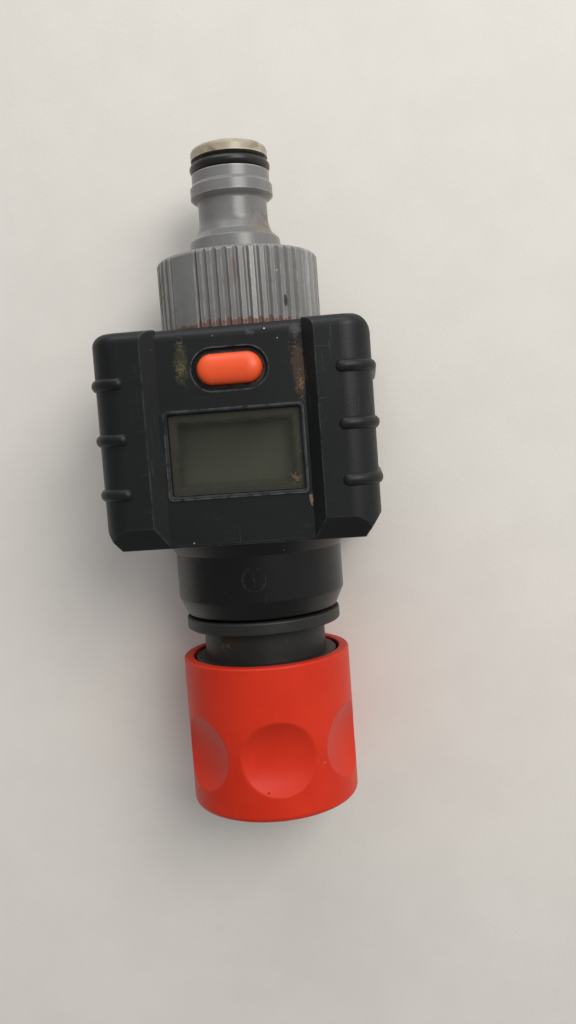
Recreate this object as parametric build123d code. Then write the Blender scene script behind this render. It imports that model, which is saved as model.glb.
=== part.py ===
from build123d import *
import math
import os

# Inline water meter for a garden hose. Millimetres. The flow axis is Y, from the inlet socket's mouth
# at Y = 0 to the outlet nipple's tip. +Z is the display's side. "Stations" are places along Y.

# ---- driving sizes: hose plug standard ----
PLUG_COLLAR_R = 8.7      # land that the catches grip behind
PLUG_BODY_R = 8.2
PLUG_NECK_R = 7.3
PLUG_TIP_R = 8.1
PLUG_RING_R = 8.5        # outside of the O-ring
PLUG_BORE_R = 5.0
PLUG_COLLAR_LENGTH = 2.1
PLUG_TIP_TO_COLLAR = 8.1  # tip face to the near edge of the collar
PLUG_GROOVE = (2.3, 5.3)  # O-ring groove, measured back from the tip

# ---- driving sizes: outside ----
HOUSING_WIDTH = 54.1
HOUSING_LENGTH = 42.3
PANEL_Z = 22.8           # recessed middle panel
BLOCK_Z = 25.2           # raised grip blocks on both sides of it
BACK_Z = -21.5
PANEL_HALF_WIDTH = 14.2
SLEEVE_R = 18.07
SLEEVE_LENGTH = 32.3
NUT_R = 17.0
NUT_LENGTH = 15.8
FLANGE_R = 16.65
COLLAR_R = 17.9

# ---- driving sizes: inside ----
WALL = 2.2
TUBE_R = 12.6
TUBE_WALL = 2.4
CHAMBER_R = TUBE_R - TUBE_WALL
WATERWAY_R = 6.2
SLEEVE_TRAVEL = 4.8
CATCH_RATIO = 0.24       # a catch's outward travel over the sleeve's travel
BUTTON_TRAVEL = 1.0
DISPLAY_WIDTH, DISPLAY_HEIGHT = 25.9, 15.9
BUTTON_LENGTH, BUTTON_WIDTH = 12.6, 5.95
CELL_R, CELL_THICKNESS = 10.0, 3.2
THREAD_PITCH = 1.814     # G 3/4
THREAD_MAJOR_R = 13.15
THREAD_MINOR_R = 12.05

# ---- named clearances ----
SNUG = 0.03              # pieces glued, welded or pressed together
SEAT = 0.1               # faces that stop against each other
SLIDE = 0.3              # the sleeve on the coupling body
GUIDE = 0.2              # a hose plug's collar in the socket
SEAL = 0.1               # a hose plug's body in the seal bore
CATCH_PLAY = 0.1
RUN = 0.05               # the turbine shaft in its bushes
BLADE_TIP = 0.6
BUTTON_PLAY = 0.15
THREAD_PLAY = 0.3
ON_TUBE = 0.2            # the housing's openings round the flow tube

# ---- inlet stations ----
GUIDE_R = PLUG_COLLAR_R + GUIDE
SEAL_R = PLUG_BODY_R + SEAL
MOUTH_LEAD = 0.5
CATCH_FACE = 8.4                                        # locking face of the catches
CATCH_DEPTH = 3.1
CATCH_WIDTH = 6.8
CATCH_HEAD_WIDTH = 9.0
CATCH_COUNT = 3
CATCH_NOSE_R = PLUG_COLLAR_R + SEAT - CATCH_RATIO * SLEEVE_TRAVEL
COLLAR_STATION = CATCH_FACE + SEAT                      # far edge of an inserted plug's collar
PLUG_SEAT = COLLAR_STATION + PLUG_COLLAR_LENGTH + PLUG_TIP_TO_COLLAR + 0.5
SEAL_START = COLLAR_STATION + PLUG_COLLAR_LENGTH + 1.0
CATCH_ZONE_R = GUIDE_R + 0.25
GUIDE_LAND = CATCH_FACE - CATCH_DEPTH - CATCH_PLAY - 0.3
CAGE_R = GUIDE_R + 2.7
CAGE_LIP_R = 14.2
CAGE_LIP_END = 3.9
STOP_R = CAGE_R + 1.6
STOP_START = 11.5
STOP_LENGTH = 2.0
STOP_END = STOP_START + STOP_LENGTH
SPIGOT_SMALL_R = CAGE_R - 0.6

# ---- sleeve stations ----
SLEEVE_BOTTOM = -1.0
SLEEVE_TOP = SLEEVE_BOTTOM + SLEEVE_LENGTH
CONE_TOP = 9.75
CONE_R = STOP_R + SLIDE
BARREL_R = STOP_R - 0.9                                 # coupling body inside the sleeve
RING_START = STOP_END + 1.5 * SEAT
SPRING_SEAT = 19.0
RIM_R = SLEEVE_R - 2.17
DIMPLE_STATION = 12.1
DIMPLE_R = 7.75
DIMPLE_DEPTH = 2.4
DIMPLE_EDGE = 0.8
DIMPLE_COUNT = 6
DIMPLE_PHASE = 10.5
SPRING_WIRE_R = 0.5
SPRING_TURNS = 4

# ---- coupling body and collar stations ----
DISC_TOP = SLEEVE_TOP - 0.3
DISC_LENGTH = 2.0
DISC_R = RIM_R - 0.55
NECK_R = DISC_R - 2.2
FLANGE_BOTTOM = SLEEVE_TOP + SLEEVE_TRAVEL + 1.5
FLANGE_LENGTH = 2.6
FLANGE_TOP = FLANGE_BOTTOM + FLANGE_LENGTH
COLLAR_BOTTOM = FLANGE_TOP + 0.5
COLLAR_LENGTH = 16.3
COLLAR_TOP = COLLAR_BOTTOM + COLLAR_LENGTH
COLLAR_BEVEL = 3.8
COLLAR_FLARE = 1.7
COLLAR_FLARE_LENGTH = 2.6
SOCKET_WALL = 1.58
SPIGOT_WALL = 3.0
SPIGOT_R = TUBE_R - SOCKET_WALL
SPIGOT_END = COLLAR_BOTTOM + 11.2
SPIGOT_BORE_R = SPIGOT_R - SPIGOT_WALL
GROOVE_DEPTH = 1.65
GROOVE_WIDTH = 2.6
GROOVE_START = COLLAR_BOTTOM + 4.4

# ---- housing stations ----
HOUSING_BOTTOM = COLLAR_TOP + SEAT
HOUSING_TOP = HOUSING_BOTTOM + HOUSING_LENGTH
SIDE_X = HOUSING_WIDTH / 2
SLOPE = BLOCK_Z - PANEL_Z
FRONT_ROUND = min(5.6, SIDE_X - PANEL_HALF_WIDTH - SLOPE - 0.3)  # no wider than the grip block
BACK_ROUND = 5.0
UPPER_CORNER = 3.8
LOWER_CORNER = (3.2, 4.5)
FRONT_EDGE = 2.3
BACK_EDGE = 1.5
BLOCK_BEVEL_START = 4.3                                 # above the housing's bottom, at the blocks' level
PANEL_BEVEL_START = 0.4                                 # the same bevel at the panel's level
RIB_STATIONS = [HOUSING_BOTTOM + step for step in (11.2, 21.8, 32.5)]
RIB_BAR_R = 1.3
RIB_PROUD = 0.8
RIB_BACK_Z = -8.0
SCREW_X = SIDE_X - 5.0
SCREW_STATIONS = (HOUSING_BOTTOM + 7.2, HOUSING_TOP - 6.0)
BOSS_R = 3.2
SCREW_R = 1.4
SCREW_HEAD_R = 2.6
SCREW_HEAD_Z = -9.0
SCREW_REACH = 8.0

# ---- display, board and button ----
DISPLAY_STATION = HOUSING_BOTTOM + 17.9
BUTTON_STATION = HOUSING_BOTTOM + 33.9
LIP = 0.35
LIP_CHAMFER = 0.25
LENS_Z = PANEL_Z - 0.8
LENS_THICKNESS = 1.2
GASKET_THICKNESS = 0.3
LEDGE_Z = LENS_Z - LENS_THICKNESS - GASKET_THICKNESS
LEDGE_THICKNESS = 1.5
LEDGE_WIDTH = 1.2
LCD_MARGIN = 1.55
LCD_THICKNESS = 1.8
LCD_TOP = LEDGE_Z - LEDGE_THICKNESS - 2 * SEAT
BOARD_TOP = LCD_TOP - LCD_THICKNESS - 2.0
BOARD_THICKNESS = 1.2
BOARD_HALF_WIDTH = SCREW_X - BOSS_R - 0.5
BOARD_ENDS = (HOUSING_BOTTOM + 5.4, HOUSING_TOP - 4.9)
POST_R = 1.8
POST_X = DISPLAY_WIDTH / 2 + LCD_MARGIN + POST_R + SEAT
POST_STATIONS = (BOARD_ENDS[0] + 2.0, BOARD_ENDS[1] - 2.5)
PIN_R = 0.9
BUTTON_TOP = PANEL_Z + 1.8
BUTTON_RECESS = 1.2
BUTTON_SURROUND = 0.95                                  # the recess beyond the button's opening
BUTTON_FLANGE = 0.8
BUTTON_FLANGE_THICKNESS = 1.0
CAVITY_Z = PANEL_Z - WALL
FLANGE_Z = CAVITY_Z - 2 * SEAT
BOOT_TOP = FLANGE_Z - BUTTON_FLANGE_THICKNESS - BUTTON_TRAVEL - SEAT
BOOT_WALL = 1.1

# ---- turbine stations ----
CHAMBER_START = SPIGOT_END + SEAT
CHAMBER_END = HOUSING_TOP - 9.4
OUTLET_STEP = 2.2
OUTLET_BORE_R = CHAMBER_R - OUTLET_STEP
GUIDE_LENGTH = 8.0
GUIDE_RIM = 0.9
HUB_R = 4.2
SHAFT_R = 1.0
BUSH_R = 2.0
BUSH_LENGTH = 4.6
ROTOR_START = CHAMBER_START + GUIDE_LENGTH + 3.0
ROTOR_LENGTH = 16.0
ROTOR_END = ROTOR_START + ROTOR_LENGTH
OUTLET_GUIDE_START = CHAMBER_END - GUIDE_LENGTH
VANE = 1.2
BLADE_COUNT = 6
VANE_COUNT = 5
BLADE_ANGLE = 32
MAGNET_R = 1.1
MAGNET_LENGTH = 2.6
MAGNET_PLACE = 2.75

# ---- battery ----
CELL_STATION = HOUSING_BOTTOM + 21.0
CUP_ROOF_Z = -TUBE_R - 0.3
CUP_ROOF = 1.0
CUP_WALL = 1.6
CUP_R = CELL_R + 0.6
CLIP_THICKNESS = 0.3
CELL_TOP = CUP_ROOF_Z - CUP_ROOF - 0.9
COVER_R = CUP_R + 6.4
COVER_THICKNESS = 2.0
COVER_SCREW_PLACE = COVER_R - 2.3
COVER_SCREW_R = 1.0
COVER_SEAL_R = CUP_R + 1.6
COVER_SEAL_WIDTH = 1.2

# ---- outlet stations ----
NUT_BOTTOM = HOUSING_TOP + 0.3
NUT_TOP = NUT_BOTTOM + NUT_LENGTH
NUT_ROOF = 2.5
NUT_BORE_R = THREAD_MAJOR_R + THREAD_PLAY
WASHER_THICKNESS = 2.3
WASHER_BORE_R = 7.3
TUBE_END = NUT_TOP - NUT_ROOF - WASHER_THICKNESS - 2 * SEAT
THREAD_START = HOUSING_TOP + 1.2
THREAD_END = TUBE_END - 0.6
RIB_COUNT = 50
RIB_DEPTH = 0.6
PLAIN_PATCH = (-50.0, -28.0)                            # degrees from +Z towards +X, left without ribs
FLARE_R = 10.0
FLARE_LENGTH = 3.8
NIPPLE_LENGTH = 23.1
NIPPLE_TIP = NUT_TOP + NIPPLE_LENGTH


# ---- shapes ----
def turned(*outline, rounds=()):
    """A body turned about the flow axis from (radius, station) corners; rounds are (corner, radius) pairs."""
    face = make_face(Polyline(*outline, close=True))
    for corner, radius in rounds:
        nearest = face.vertices().sort_by_distance((*corner, 0))[0]
        face = fillet(nearest, radius)
    return revolve(face, axis=Axis.Y)


def bar(radius, start, end):
    """A plain cylinder on the flow axis."""
    return turned((0, start), (radius, start), (radius, end), (0, end))


def tube(inner, outer, start, end):
    """A plain ring on the flow axis."""
    return turned((inner, start), (outer, start), (outer, end), (inner, end))


def block(x, y, z):
    """A box from its lowest to its highest corner, each argument being a (low, high) pair."""
    size = [high - low for low, high in (x, y, z)]
    middle = [(low + high) / 2 for low, high in (x, y, z)]
    return Pos(*middle) * Box(*size)


def post(radius, x, y, z):
    """A cylinder along Z at (x, y) between two heights."""
    return Pos(x, y, z[0]) * extrude(Circle(radius), z[1] - z[0])


def plate(shape, x, y, z):
    """A flat outline given thickness between two heights."""
    return Pos(x, y, z[0]) * extrude(shape, z[1] - z[0])


def around(shape, count, phase=0.0):
    """Copies of a shape spaced evenly about the flow axis, as a list."""
    return [Rot(Y=phase + 360 * turn / count) * shape for turn in range(count)]


def stadium(length, width):
    """A slot outline with round ends."""
    return SlotOverall(length, width)


def ring_seal(centre_r, wire_r, station):
    """An O-ring on the flow axis."""
    return Pos(0, station, 0) * Rot(X=90) * Torus(centre_r, wire_r)


def thread_ridge(root_r, crest_r):
    """One helical ridge, a turn longer than the thread at both ends; it points outwards if the crest is
    wider than the root, and inwards if it is narrower."""
    foot, tip = THREAD_PITCH * 0.34, THREAD_PITCH * 0.08
    bite = math.copysign(0.2, crest_r - root_r)
    path = Helix(THREAD_PITCH, THREAD_END - THREAD_START + 2 * THREAD_PITCH, root_r)
    outline = [(-bite, -foot), (crest_r - root_r, -tip), (crest_r - root_r, tip), (-bite, foot)]
    across = Plane(origin=path @ 0, x_dir=(1, 0, 0), z_dir=path % 0)
    section = across * make_face(Polyline(*outline, close=True))
    ridge = Rot(X=-90) * sweep(section, path=path, is_frenet=True)
    return Pos(0, THREAD_START - THREAD_PITCH, 0) * ridge


# ---- inlet coupling ----
def catch_cage():
    body = turned(
        (GUIDE_R + MOUTH_LEAD, -MOUTH_LEAD),
        (CAGE_LIP_R, -MOUTH_LEAD),
        (CAGE_LIP_R, CAGE_LIP_END),
        (CAGE_R, CAGE_LIP_END),
        (CAGE_R, STOP_START),
        (STOP_R, STOP_START),
        (STOP_R, STOP_END),
        (SPIGOT_SMALL_R, STOP_END),
        (SPIGOT_SMALL_R, PLUG_SEAT - SEAT),
        (SEAL_R, PLUG_SEAT - SEAT),
        (SEAL_R, SEAL_START),
        (CATCH_ZONE_R, SEAL_START - (CATCH_ZONE_R - SEAL_R)),
        (CATCH_ZONE_R, GUIDE_LAND),
        (GUIDE_R, GUIDE_LAND),
        (GUIDE_R, 0),
        rounds=[((CAGE_LIP_R, -MOUTH_LEAD), 0.8)],
    )
    half = CATCH_WIDTH / 2 + CATCH_PLAY
    tall = (CATCH_FACE - CATCH_DEPTH - CATCH_PLAY, CATCH_FACE + CATCH_PLAY)
    window = block((-half, half), tall, (GUIDE_R / 2, CAGE_R + 1))
    return body - around(window, CATCH_COUNT)


def sleeve_cone(station, gap=0.0):
    """The sleeve's ramp radius over the catches, less a gap."""
    return CONE_R + CATCH_RATIO * (CONE_TOP - station) - gap


def catch():
    low, high = CATCH_FACE - CATCH_DEPTH, CATCH_FACE
    shank = turned(
        (CATCH_NOSE_R, high),
        (CATCH_NOSE_R, high - 1.1),
        (PLUG_COLLAR_R, low),
        (CAGE_R + 1, low),
        (CAGE_R + 1, high),
    )
    head_low, head_high = low - 0.9, high + 1.0
    head = turned(
        (CAGE_R + CATCH_PLAY, head_low),
        (sleeve_cone(head_low, SLIDE / 2), head_low),
        (sleeve_cone(head_high, SLIDE / 2), head_high),
        (CAGE_R + CATCH_PLAY, head_high),
    )
    tall = (low - 5, high + 5)
    deep = (0, SLEEVE_R)
    trimmed_shank = shank & block((-CATCH_WIDTH / 2, CATCH_WIDTH / 2), tall, deep)
    trimmed_head = head & block((-CATCH_HEAD_WIDTH / 2, CATCH_HEAD_WIDTH / 2), tall, deep)
    return trimmed_shank + trimmed_head


def dimple():
    """A dished scoop whose edge on the sleeve is round: flatter round the sleeve than along it."""
    floor = SLEEVE_R - DIMPLE_DEPTH
    rise = math.sqrt(SLEEVE_R**2 - DIMPLE_R**2) - floor
    along = (DIMPLE_R**2 + DIMPLE_DEPTH**2) / (2 * DIMPLE_DEPTH)
    across = (DIMPLE_R**2 + rise**2) / (2 * rise)
    return Pos(0, DIMPLE_STATION, floor + across) * Rot(X=90) * Torus(across - along, along)


def sleeve():
    shell = turned(
        (sleeve_cone(SLEEVE_BOTTOM), SLEEVE_BOTTOM),
        (SLEEVE_R, SLEEVE_BOTTOM),
        (SLEEVE_R, SLEEVE_TOP),
        (RIM_R, SLEEVE_TOP),
        (RIM_R, SPRING_SEAT),
        (BARREL_R + SLIDE, SPRING_SEAT),
        (BARREL_R + SLIDE, RING_START),
        (CONE_R, RING_START),
        (CONE_R, CONE_TOP),
        rounds=[((SLEEVE_R, SLEEVE_BOTTOM), 1.3), ((SLEEVE_R, SLEEVE_TOP), 0.5), ((RIM_R, SLEEVE_TOP), 0.4)],
    )
    shell = shell - around(dimple(), DIMPLE_COUNT, DIMPLE_PHASE)
    rims = [edge for edge in shell.edges() if edge.geom_type not in (GeomType.CIRCLE, GeomType.LINE)]
    return fillet(rims, DIMPLE_EDGE)


def sleeve_spring():
    start = SPRING_SEAT + SPRING_WIRE_R + SEAT
    end = DISC_TOP - DISC_LENGTH - SPRING_WIRE_R - SEAT
    middle_r = (BARREL_R + RIM_R) / 2
    path = Helix((end - start) / SPRING_TURNS, end - start, middle_r)
    wire = Plane(origin=path @ 0, z_dir=path % 0) * Circle(SPRING_WIRE_R)
    return Pos(0, start, 0) * Rot(X=-90) * sweep(wire, path=path, is_frenet=True)


def coupling_body():
    return turned(
        (SPIGOT_SMALL_R + SNUG, STOP_END + SNUG),
        (BARREL_R, STOP_END + SNUG),
        (BARREL_R, DISC_TOP - DISC_LENGTH),
        (DISC_R, DISC_TOP - DISC_LENGTH),
        (DISC_R, DISC_TOP),
        (NECK_R, DISC_TOP),
        (NECK_R, FLANGE_BOTTOM),
        (FLANGE_R, FLANGE_BOTTOM),
        (FLANGE_R, FLANGE_TOP),
        (SPIGOT_R, FLANGE_TOP),
        (SPIGOT_R, GROOVE_START),
        (SPIGOT_R - GROOVE_DEPTH, GROOVE_START),
        (SPIGOT_R - GROOVE_DEPTH, GROOVE_START + GROOVE_WIDTH),
        (SPIGOT_R, GROOVE_START + GROOVE_WIDTH),
        (SPIGOT_R, SPIGOT_END),
        (SPIGOT_BORE_R, SPIGOT_END),
        (SPIGOT_BORE_R, FLANGE_TOP),
        (WATERWAY_R, FLANGE_BOTTOM - 2),
        (WATERWAY_R, PLUG_SEAT),
        (SPIGOT_SMALL_R + SNUG, PLUG_SEAT),
        rounds=[
            ((DISC_R, DISC_TOP), 0.3),
            ((NECK_R, FLANGE_BOTTOM), 0.6),
            ((FLANGE_R, FLANGE_BOTTOM), 0.4),
            ((FLANGE_R, FLANGE_TOP), 0.4),
        ],
    )


def coupling_seal():
    floor = SPIGOT_R - GROOVE_DEPTH
    wire_r = (SPIGOT_R + SNUG - floor) / 2 - SNUG / 2
    return ring_seal(floor + SNUG / 2 + wire_r, wire_r, GROOVE_START + GROOVE_WIDTH / 2)


# ---- flow tube and turbine ----
def flow_tube():
    flare_r = COLLAR_R + COLLAR_FLARE
    shell_r = COLLAR_R - WALL
    pocket_floor = COLLAR_BOTTOM + COLLAR_BEVEL + 1
    stop_low, stop_high = HOUSING_TOP - WALL - SEAT - 1.2, HOUSING_TOP - WALL - SEAT
    body = turned(
        (SPIGOT_R + SNUG, COLLAR_BOTTOM),
        (COLLAR_R - 1.8, COLLAR_BOTTOM),
        (COLLAR_R, COLLAR_BOTTOM + COLLAR_BEVEL),
        (COLLAR_R, COLLAR_TOP - COLLAR_FLARE_LENGTH - 0.4),
        (flare_r, COLLAR_TOP - 0.4),
        (flare_r, COLLAR_TOP),
        (shell_r, COLLAR_TOP),
        (shell_r, pocket_floor),
        (TUBE_R, pocket_floor),
        (TUBE_R, stop_low),
        (TUBE_R + 2.4, stop_low),
        (TUBE_R + 2.4, stop_high),
        (TUBE_R, stop_high),
        (TUBE_R, HOUSING_TOP + SEAT),
        (THREAD_MINOR_R, HOUSING_TOP + SEAT),
        (THREAD_MINOR_R, TUBE_END),
        (OUTLET_BORE_R, TUBE_END),
        (OUTLET_BORE_R, CHAMBER_END),
        (CHAMBER_R, CHAMBER_END),
        (CHAMBER_R, CHAMBER_START),
        (SPIGOT_R + SNUG, CHAMBER_START),
        rounds=[((COLLAR_R, COLLAR_BOTTOM + COLLAR_BEVEL), 1.2), ((COLLAR_R - 1.8, COLLAR_BOTTOM), 0.5)],
    )
    envelope = tube(OUTLET_BORE_R, THREAD_MAJOR_R + 1, THREAD_START, THREAD_END)
    ridge = thread_ridge(THREAD_MINOR_R, THREAD_MAJOR_R) & envelope
    key = block((-2, 2), (HOUSING_BOTTOM + 3, HOUSING_BOTTOM + 6), (-TUBE_R - 1.6, -TUBE_R + 1))
    return body + ridge + key


def flow_guide():
    """A vaned hub from station 0 to GUIDE_LENGTH, its nose at 0 and its bush socket at the other end."""
    hub = turned(
        (0, 0),
        (1.6, 0.3),
        (HUB_R - 0.8, 1.8),
        (HUB_R, 4.0),
        (HUB_R, GUIDE_LENGTH),
        (BUSH_R + SNUG, GUIDE_LENGTH),
        (BUSH_R + SNUG, GUIDE_LENGTH - BUSH_LENGTH - SEAT),
        (0, GUIDE_LENGTH - BUSH_LENGTH - SEAT),
    )
    rim = tube(CHAMBER_R - GUIDE_RIM, CHAMBER_R - SNUG, 0, GUIDE_LENGTH - SEAT)
    reach = (HUB_R - 0.6, CHAMBER_R - GUIDE_RIM / 2)
    vane = block((-VANE / 2, VANE / 2), (1.5, GUIDE_LENGTH - SEAT), reach)
    return hub + rim + around(vane, VANE_COUNT)


def inlet_guide():
    return Pos(0, CHAMBER_START, 0) * flow_guide()


def outlet_guide():
    return Pos(0, CHAMBER_END - SEAT, 0) * Rot(Z=180) * flow_guide()


def bush():
    return tube(SHAFT_R + RUN, BUSH_R, 0, BUSH_LENGTH)


def inlet_bush():
    return Pos(0, CHAMBER_START + GUIDE_LENGTH - BUSH_LENGTH, 0) * bush()


def outlet_bush():
    return Pos(0, OUTLET_GUIDE_START - SEAT, 0) * bush()


def turbine_shaft():
    start = CHAMBER_START + GUIDE_LENGTH - BUSH_LENGTH + 0.4
    end = OUTLET_GUIDE_START - SEAT + BUSH_LENGTH - 0.4
    return bar(SHAFT_R, start, end)


def magnet(radius, length):
    """One magnet-sized plug in the rotor's outlet face."""
    return Pos(0, ROTOR_END - length, MAGNET_PLACE) * Rot(X=-90) * extrude(Circle(radius), length)


def turbine_rotor():
    hub = tube(SHAFT_R + 0.01, HUB_R, ROTOR_START, ROTOR_END)
    reach = CHAMBER_R - BLADE_TIP
    blade = block((-VANE / 2, VANE / 2), (-ROTOR_LENGTH, ROTOR_LENGTH), (HUB_R - 1, CHAMBER_R + 2))
    leaning = Pos(0, (ROTOR_START + ROTOR_END) / 2, 0) * Rot(Z=BLADE_ANGLE) * blade
    swept = tube(HUB_R - 0.5, reach, ROTOR_START + 1, ROTOR_END - 1)
    blades = [one & swept for one in around(leaning, BLADE_COUNT)]
    return hub + blades - around(magnet(MAGNET_R + SNUG, MAGNET_LENGTH + SNUG), 2)


def rotor_magnets():
    return Compound(children=around(magnet(MAGNET_R, MAGNET_LENGTH), 2))


# ---- housing ----
def across_section():
    """The housing's outline across the flow axis, in X and Z."""
    inner, outer = PANEL_HALF_WIDTH, PANEL_HALF_WIDTH + SLOPE
    right = [(inner, PANEL_Z), (outer, BLOCK_Z), (SIDE_X, BLOCK_Z), (SIDE_X, BACK_Z)]
    left = [(-x, z) for x, z in reversed(right)]
    face = make_face(Polyline(*right, *left, close=True))
    for x in (SIDE_X, -SIDE_X):
        face = fillet(face.vertices().sort_by_distance((x, BLOCK_Z, 0))[0], FRONT_ROUND)
        face = fillet(face.vertices().sort_by_distance((x, BACK_Z, 0))[0], BACK_ROUND)
    return face


def front_outline():
    """The housing's outline seen from the display's side, in X and Y."""
    cut_x, cut_y = LOWER_CORNER
    right = [
        (SIDE_X - cut_x, HOUSING_BOTTOM),
        (SIDE_X, HOUSING_BOTTOM + cut_y),
        (SIDE_X, HOUSING_TOP),
    ]
    left = [(-x, y) for x, y in reversed(right)]
    face = make_face(Polyline(*right, *left, close=True))
    for x in (SIDE_X, -SIDE_X):
        face = fillet(face.vertices().sort_by_distance((x, HOUSING_TOP, 0))[0], UPPER_CORNER)
        face = fillet(face.vertices().sort_by_distance((x, HOUSING_BOTTOM + cut_y, 0))[0], 1.2)
    return face


def edge_profile(radius):
    """What a rounded edge loses, with the sharp corner at the origin and the body at low X and Y."""
    square = Pos(-radius, -radius) * Rectangle(radius + 1, radius + 1, align=(Align.MIN, Align.MIN))
    return square - Pos(-radius, -radius) * Circle(radius)


def edge_cutter(radius, length):
    """The same loss given length along Z."""
    return extrude(edge_profile(radius), length)


def along_x(shape, start, y, z, outward):
    """A shape drawn along Z turned to run along X from a start, its own X pointing outward."""
    return Plane(origin=(start, y, z), x_dir=outward, z_dir=(1, 0, 0)) * shape


def block_edge_cutter():
    """What the right grip block's top edge loses, from the slope out, round the front corner and down."""
    share = FRONT_ROUND * (1 - math.sqrt(0.5))
    start = (PANEL_HALF_WIDTH, HOUSING_TOP, BLOCK_Z)
    turn = (SIDE_X - FRONT_ROUND, HOUSING_TOP, BLOCK_Z)
    middle = (SIDE_X - share, HOUSING_TOP, BLOCK_Z - share)
    corner = (SIDE_X, HOUSING_TOP, BLOCK_Z - FRONT_ROUND)
    path = Line(start, turn) + ThreePointArc(turn, middle, corner) + Line(corner, (SIDE_X, HOUSING_TOP, 0))
    across = Plane(origin=start, x_dir=(0, 1, 0), z_dir=(1, 0, 0))
    return sweep(across * edge_profile(FRONT_EDGE), path=path)


def corner_cutters(inset):
    """The rounded upper corners and the chamfered lower corners, drawn in by an inset."""
    height, floor = BLOCK_Z - BACK_Z + 2, BACK_Z - 1
    corner = edge_cutter(UPPER_CORNER - inset, height)
    top, edge = HOUSING_TOP - inset, SIDE_X - inset
    cut_x, cut_y = LOWER_CORNER
    across = math.hypot(cut_x, cut_y)
    shift_x, shift_y = -cut_y / across * inset, cut_x / across * inset
    line = [
        (SIDE_X - cut_x * 1.5, HOUSING_BOTTOM - cut_y / 2),
        (SIDE_X + cut_x, HOUSING_BOTTOM + cut_y * 2),
    ]
    inner, outer = [(x + shift_x, y + shift_y) for x, y in line]
    corner_face = make_face(Polyline(inner, outer, (outer[0], inner[1]), close=True))
    chamfered = Pos(0, 0, floor) * extrude(corner_face, height)
    return [
        Pos(edge, top, floor) * corner,
        Pos(-edge, top, floor) * Rot(Z=90) * corner,
        chamfered,
        mirror(chamfered, Plane.YZ),
    ]


def bevel_cutter(inset):
    """The slanting cut across the lower front edge, lowered by an inset measured square to it."""
    slope = SLOPE / (BLOCK_BEVEL_START - PANEL_BEVEL_START)
    drop = inset * math.sqrt(1 + slope**2)
    ends = [(y + HOUSING_BOTTOM, slope * (y - BLOCK_BEVEL_START)) for y in (-1, BLOCK_BEVEL_START + 4)]
    low, high = [(y, BLOCK_Z - drop + z) for y, z in ends]
    face = make_face(Polyline(low, high, (low[0], high[1]), close=True))
    return along_x(extrude(face, HOUSING_WIDTH + 2), -SIDE_X - 1, 0, 0, (0, 1, 0))


def long_body(section, start, end):
    """A section across the flow axis given length between two stations."""
    return Pos(0, end, 0) * Rot(X=90) * extrude(section, end - start)


def grip_rib(station, side):
    """A round-ended bar let into the housing's skin, round its front corner and back along its side."""
    sunk = RIB_BAR_R - RIB_PROUD
    outer_x, outer_z = SIDE_X - sunk, BLOCK_Z - sunk
    bend = FRONT_ROUND - sunk
    share = bend * (1 - math.sqrt(0.5))
    start = (side * (outer_x - bend), station, outer_z)
    middle = (side * (outer_x - share), station, outer_z - share)
    corner = (side * outer_x, station, outer_z - bend)
    end = (side * outer_x, station, RIB_BACK_Z)
    path = ThreePointArc(start, middle, corner) + Line(corner, end)
    wire = Plane(origin=start, z_dir=(side, 0, 0)) * Circle(RIB_BAR_R)
    return sweep(wire, path=path) + Pos(*start) * Sphere(RIB_BAR_R) + Pos(*end) * Sphere(RIB_BAR_R)


def housing_form():
    """The outside of both shells together, with the grip ribs."""
    form = long_body(across_section(), HOUSING_BOTTOM, HOUSING_TOP)
    form -= corner_cutters(0)
    form -= bevel_cutter(0)
    full = HOUSING_WIDTH + 2
    panel_edge = edge_cutter(FRONT_EDGE, 2 * PANEL_HALF_WIDTH)
    form -= along_x(panel_edge, -PANEL_HALF_WIDTH, HOUSING_TOP, PANEL_Z, (0, 1, 0))
    form -= [block_edge_cutter(), mirror(block_edge_cutter(), Plane.YZ)]
    form -= along_x(edge_cutter(BACK_EDGE, full), -full / 2, HOUSING_TOP, BACK_Z, (0, 0, -1))
    form -= along_x(edge_cutter(BACK_EDGE, full), -full / 2, HOUSING_BOTTOM, BACK_Z, (0, -1, 0))
    for station in RIB_STATIONS:
        for side in (1, -1):
            form += grip_rib(station, side)
    return form


def housing_cavity():
    """The room inside both shells."""
    room = long_body(offset(across_section(), -WALL), HOUSING_BOTTOM + WALL, HOUSING_TOP - WALL)
    room -= corner_cutters(WALL)
    return room - bevel_cutter(WALL)


def seal_path(extra):
    """The flat ring in the joint between the shells, widened by an extra on every side."""
    outer = offset(front_outline(), -0.65 + extra)
    inner = offset(front_outline(), -1.55 - extra)
    ring = plate(outer - inner, 0, 0, (-0.5 - extra, 0.5 + extra))
    return ring - bar(TUBE_R + ON_TUBE + 0.8 - extra, HOUSING_BOTTOM - 1, HOUSING_TOP + 1)


def halves(part, front):
    """The part of a body in front of the joint, or behind it."""
    z = (0, 2 * BLOCK_Z) if front else (2 * BACK_Z, 0)
    return part & block((-2 * SIDE_X, 2 * SIDE_X), (HOUSING_BOTTOM - 20, HOUSING_TOP + 20), z)


def housing_seal():
    return seal_path(0)


def screw_places():
    return [(side * SCREW_X, station) for side in (1, -1) for station in SCREW_STATIONS]


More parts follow.
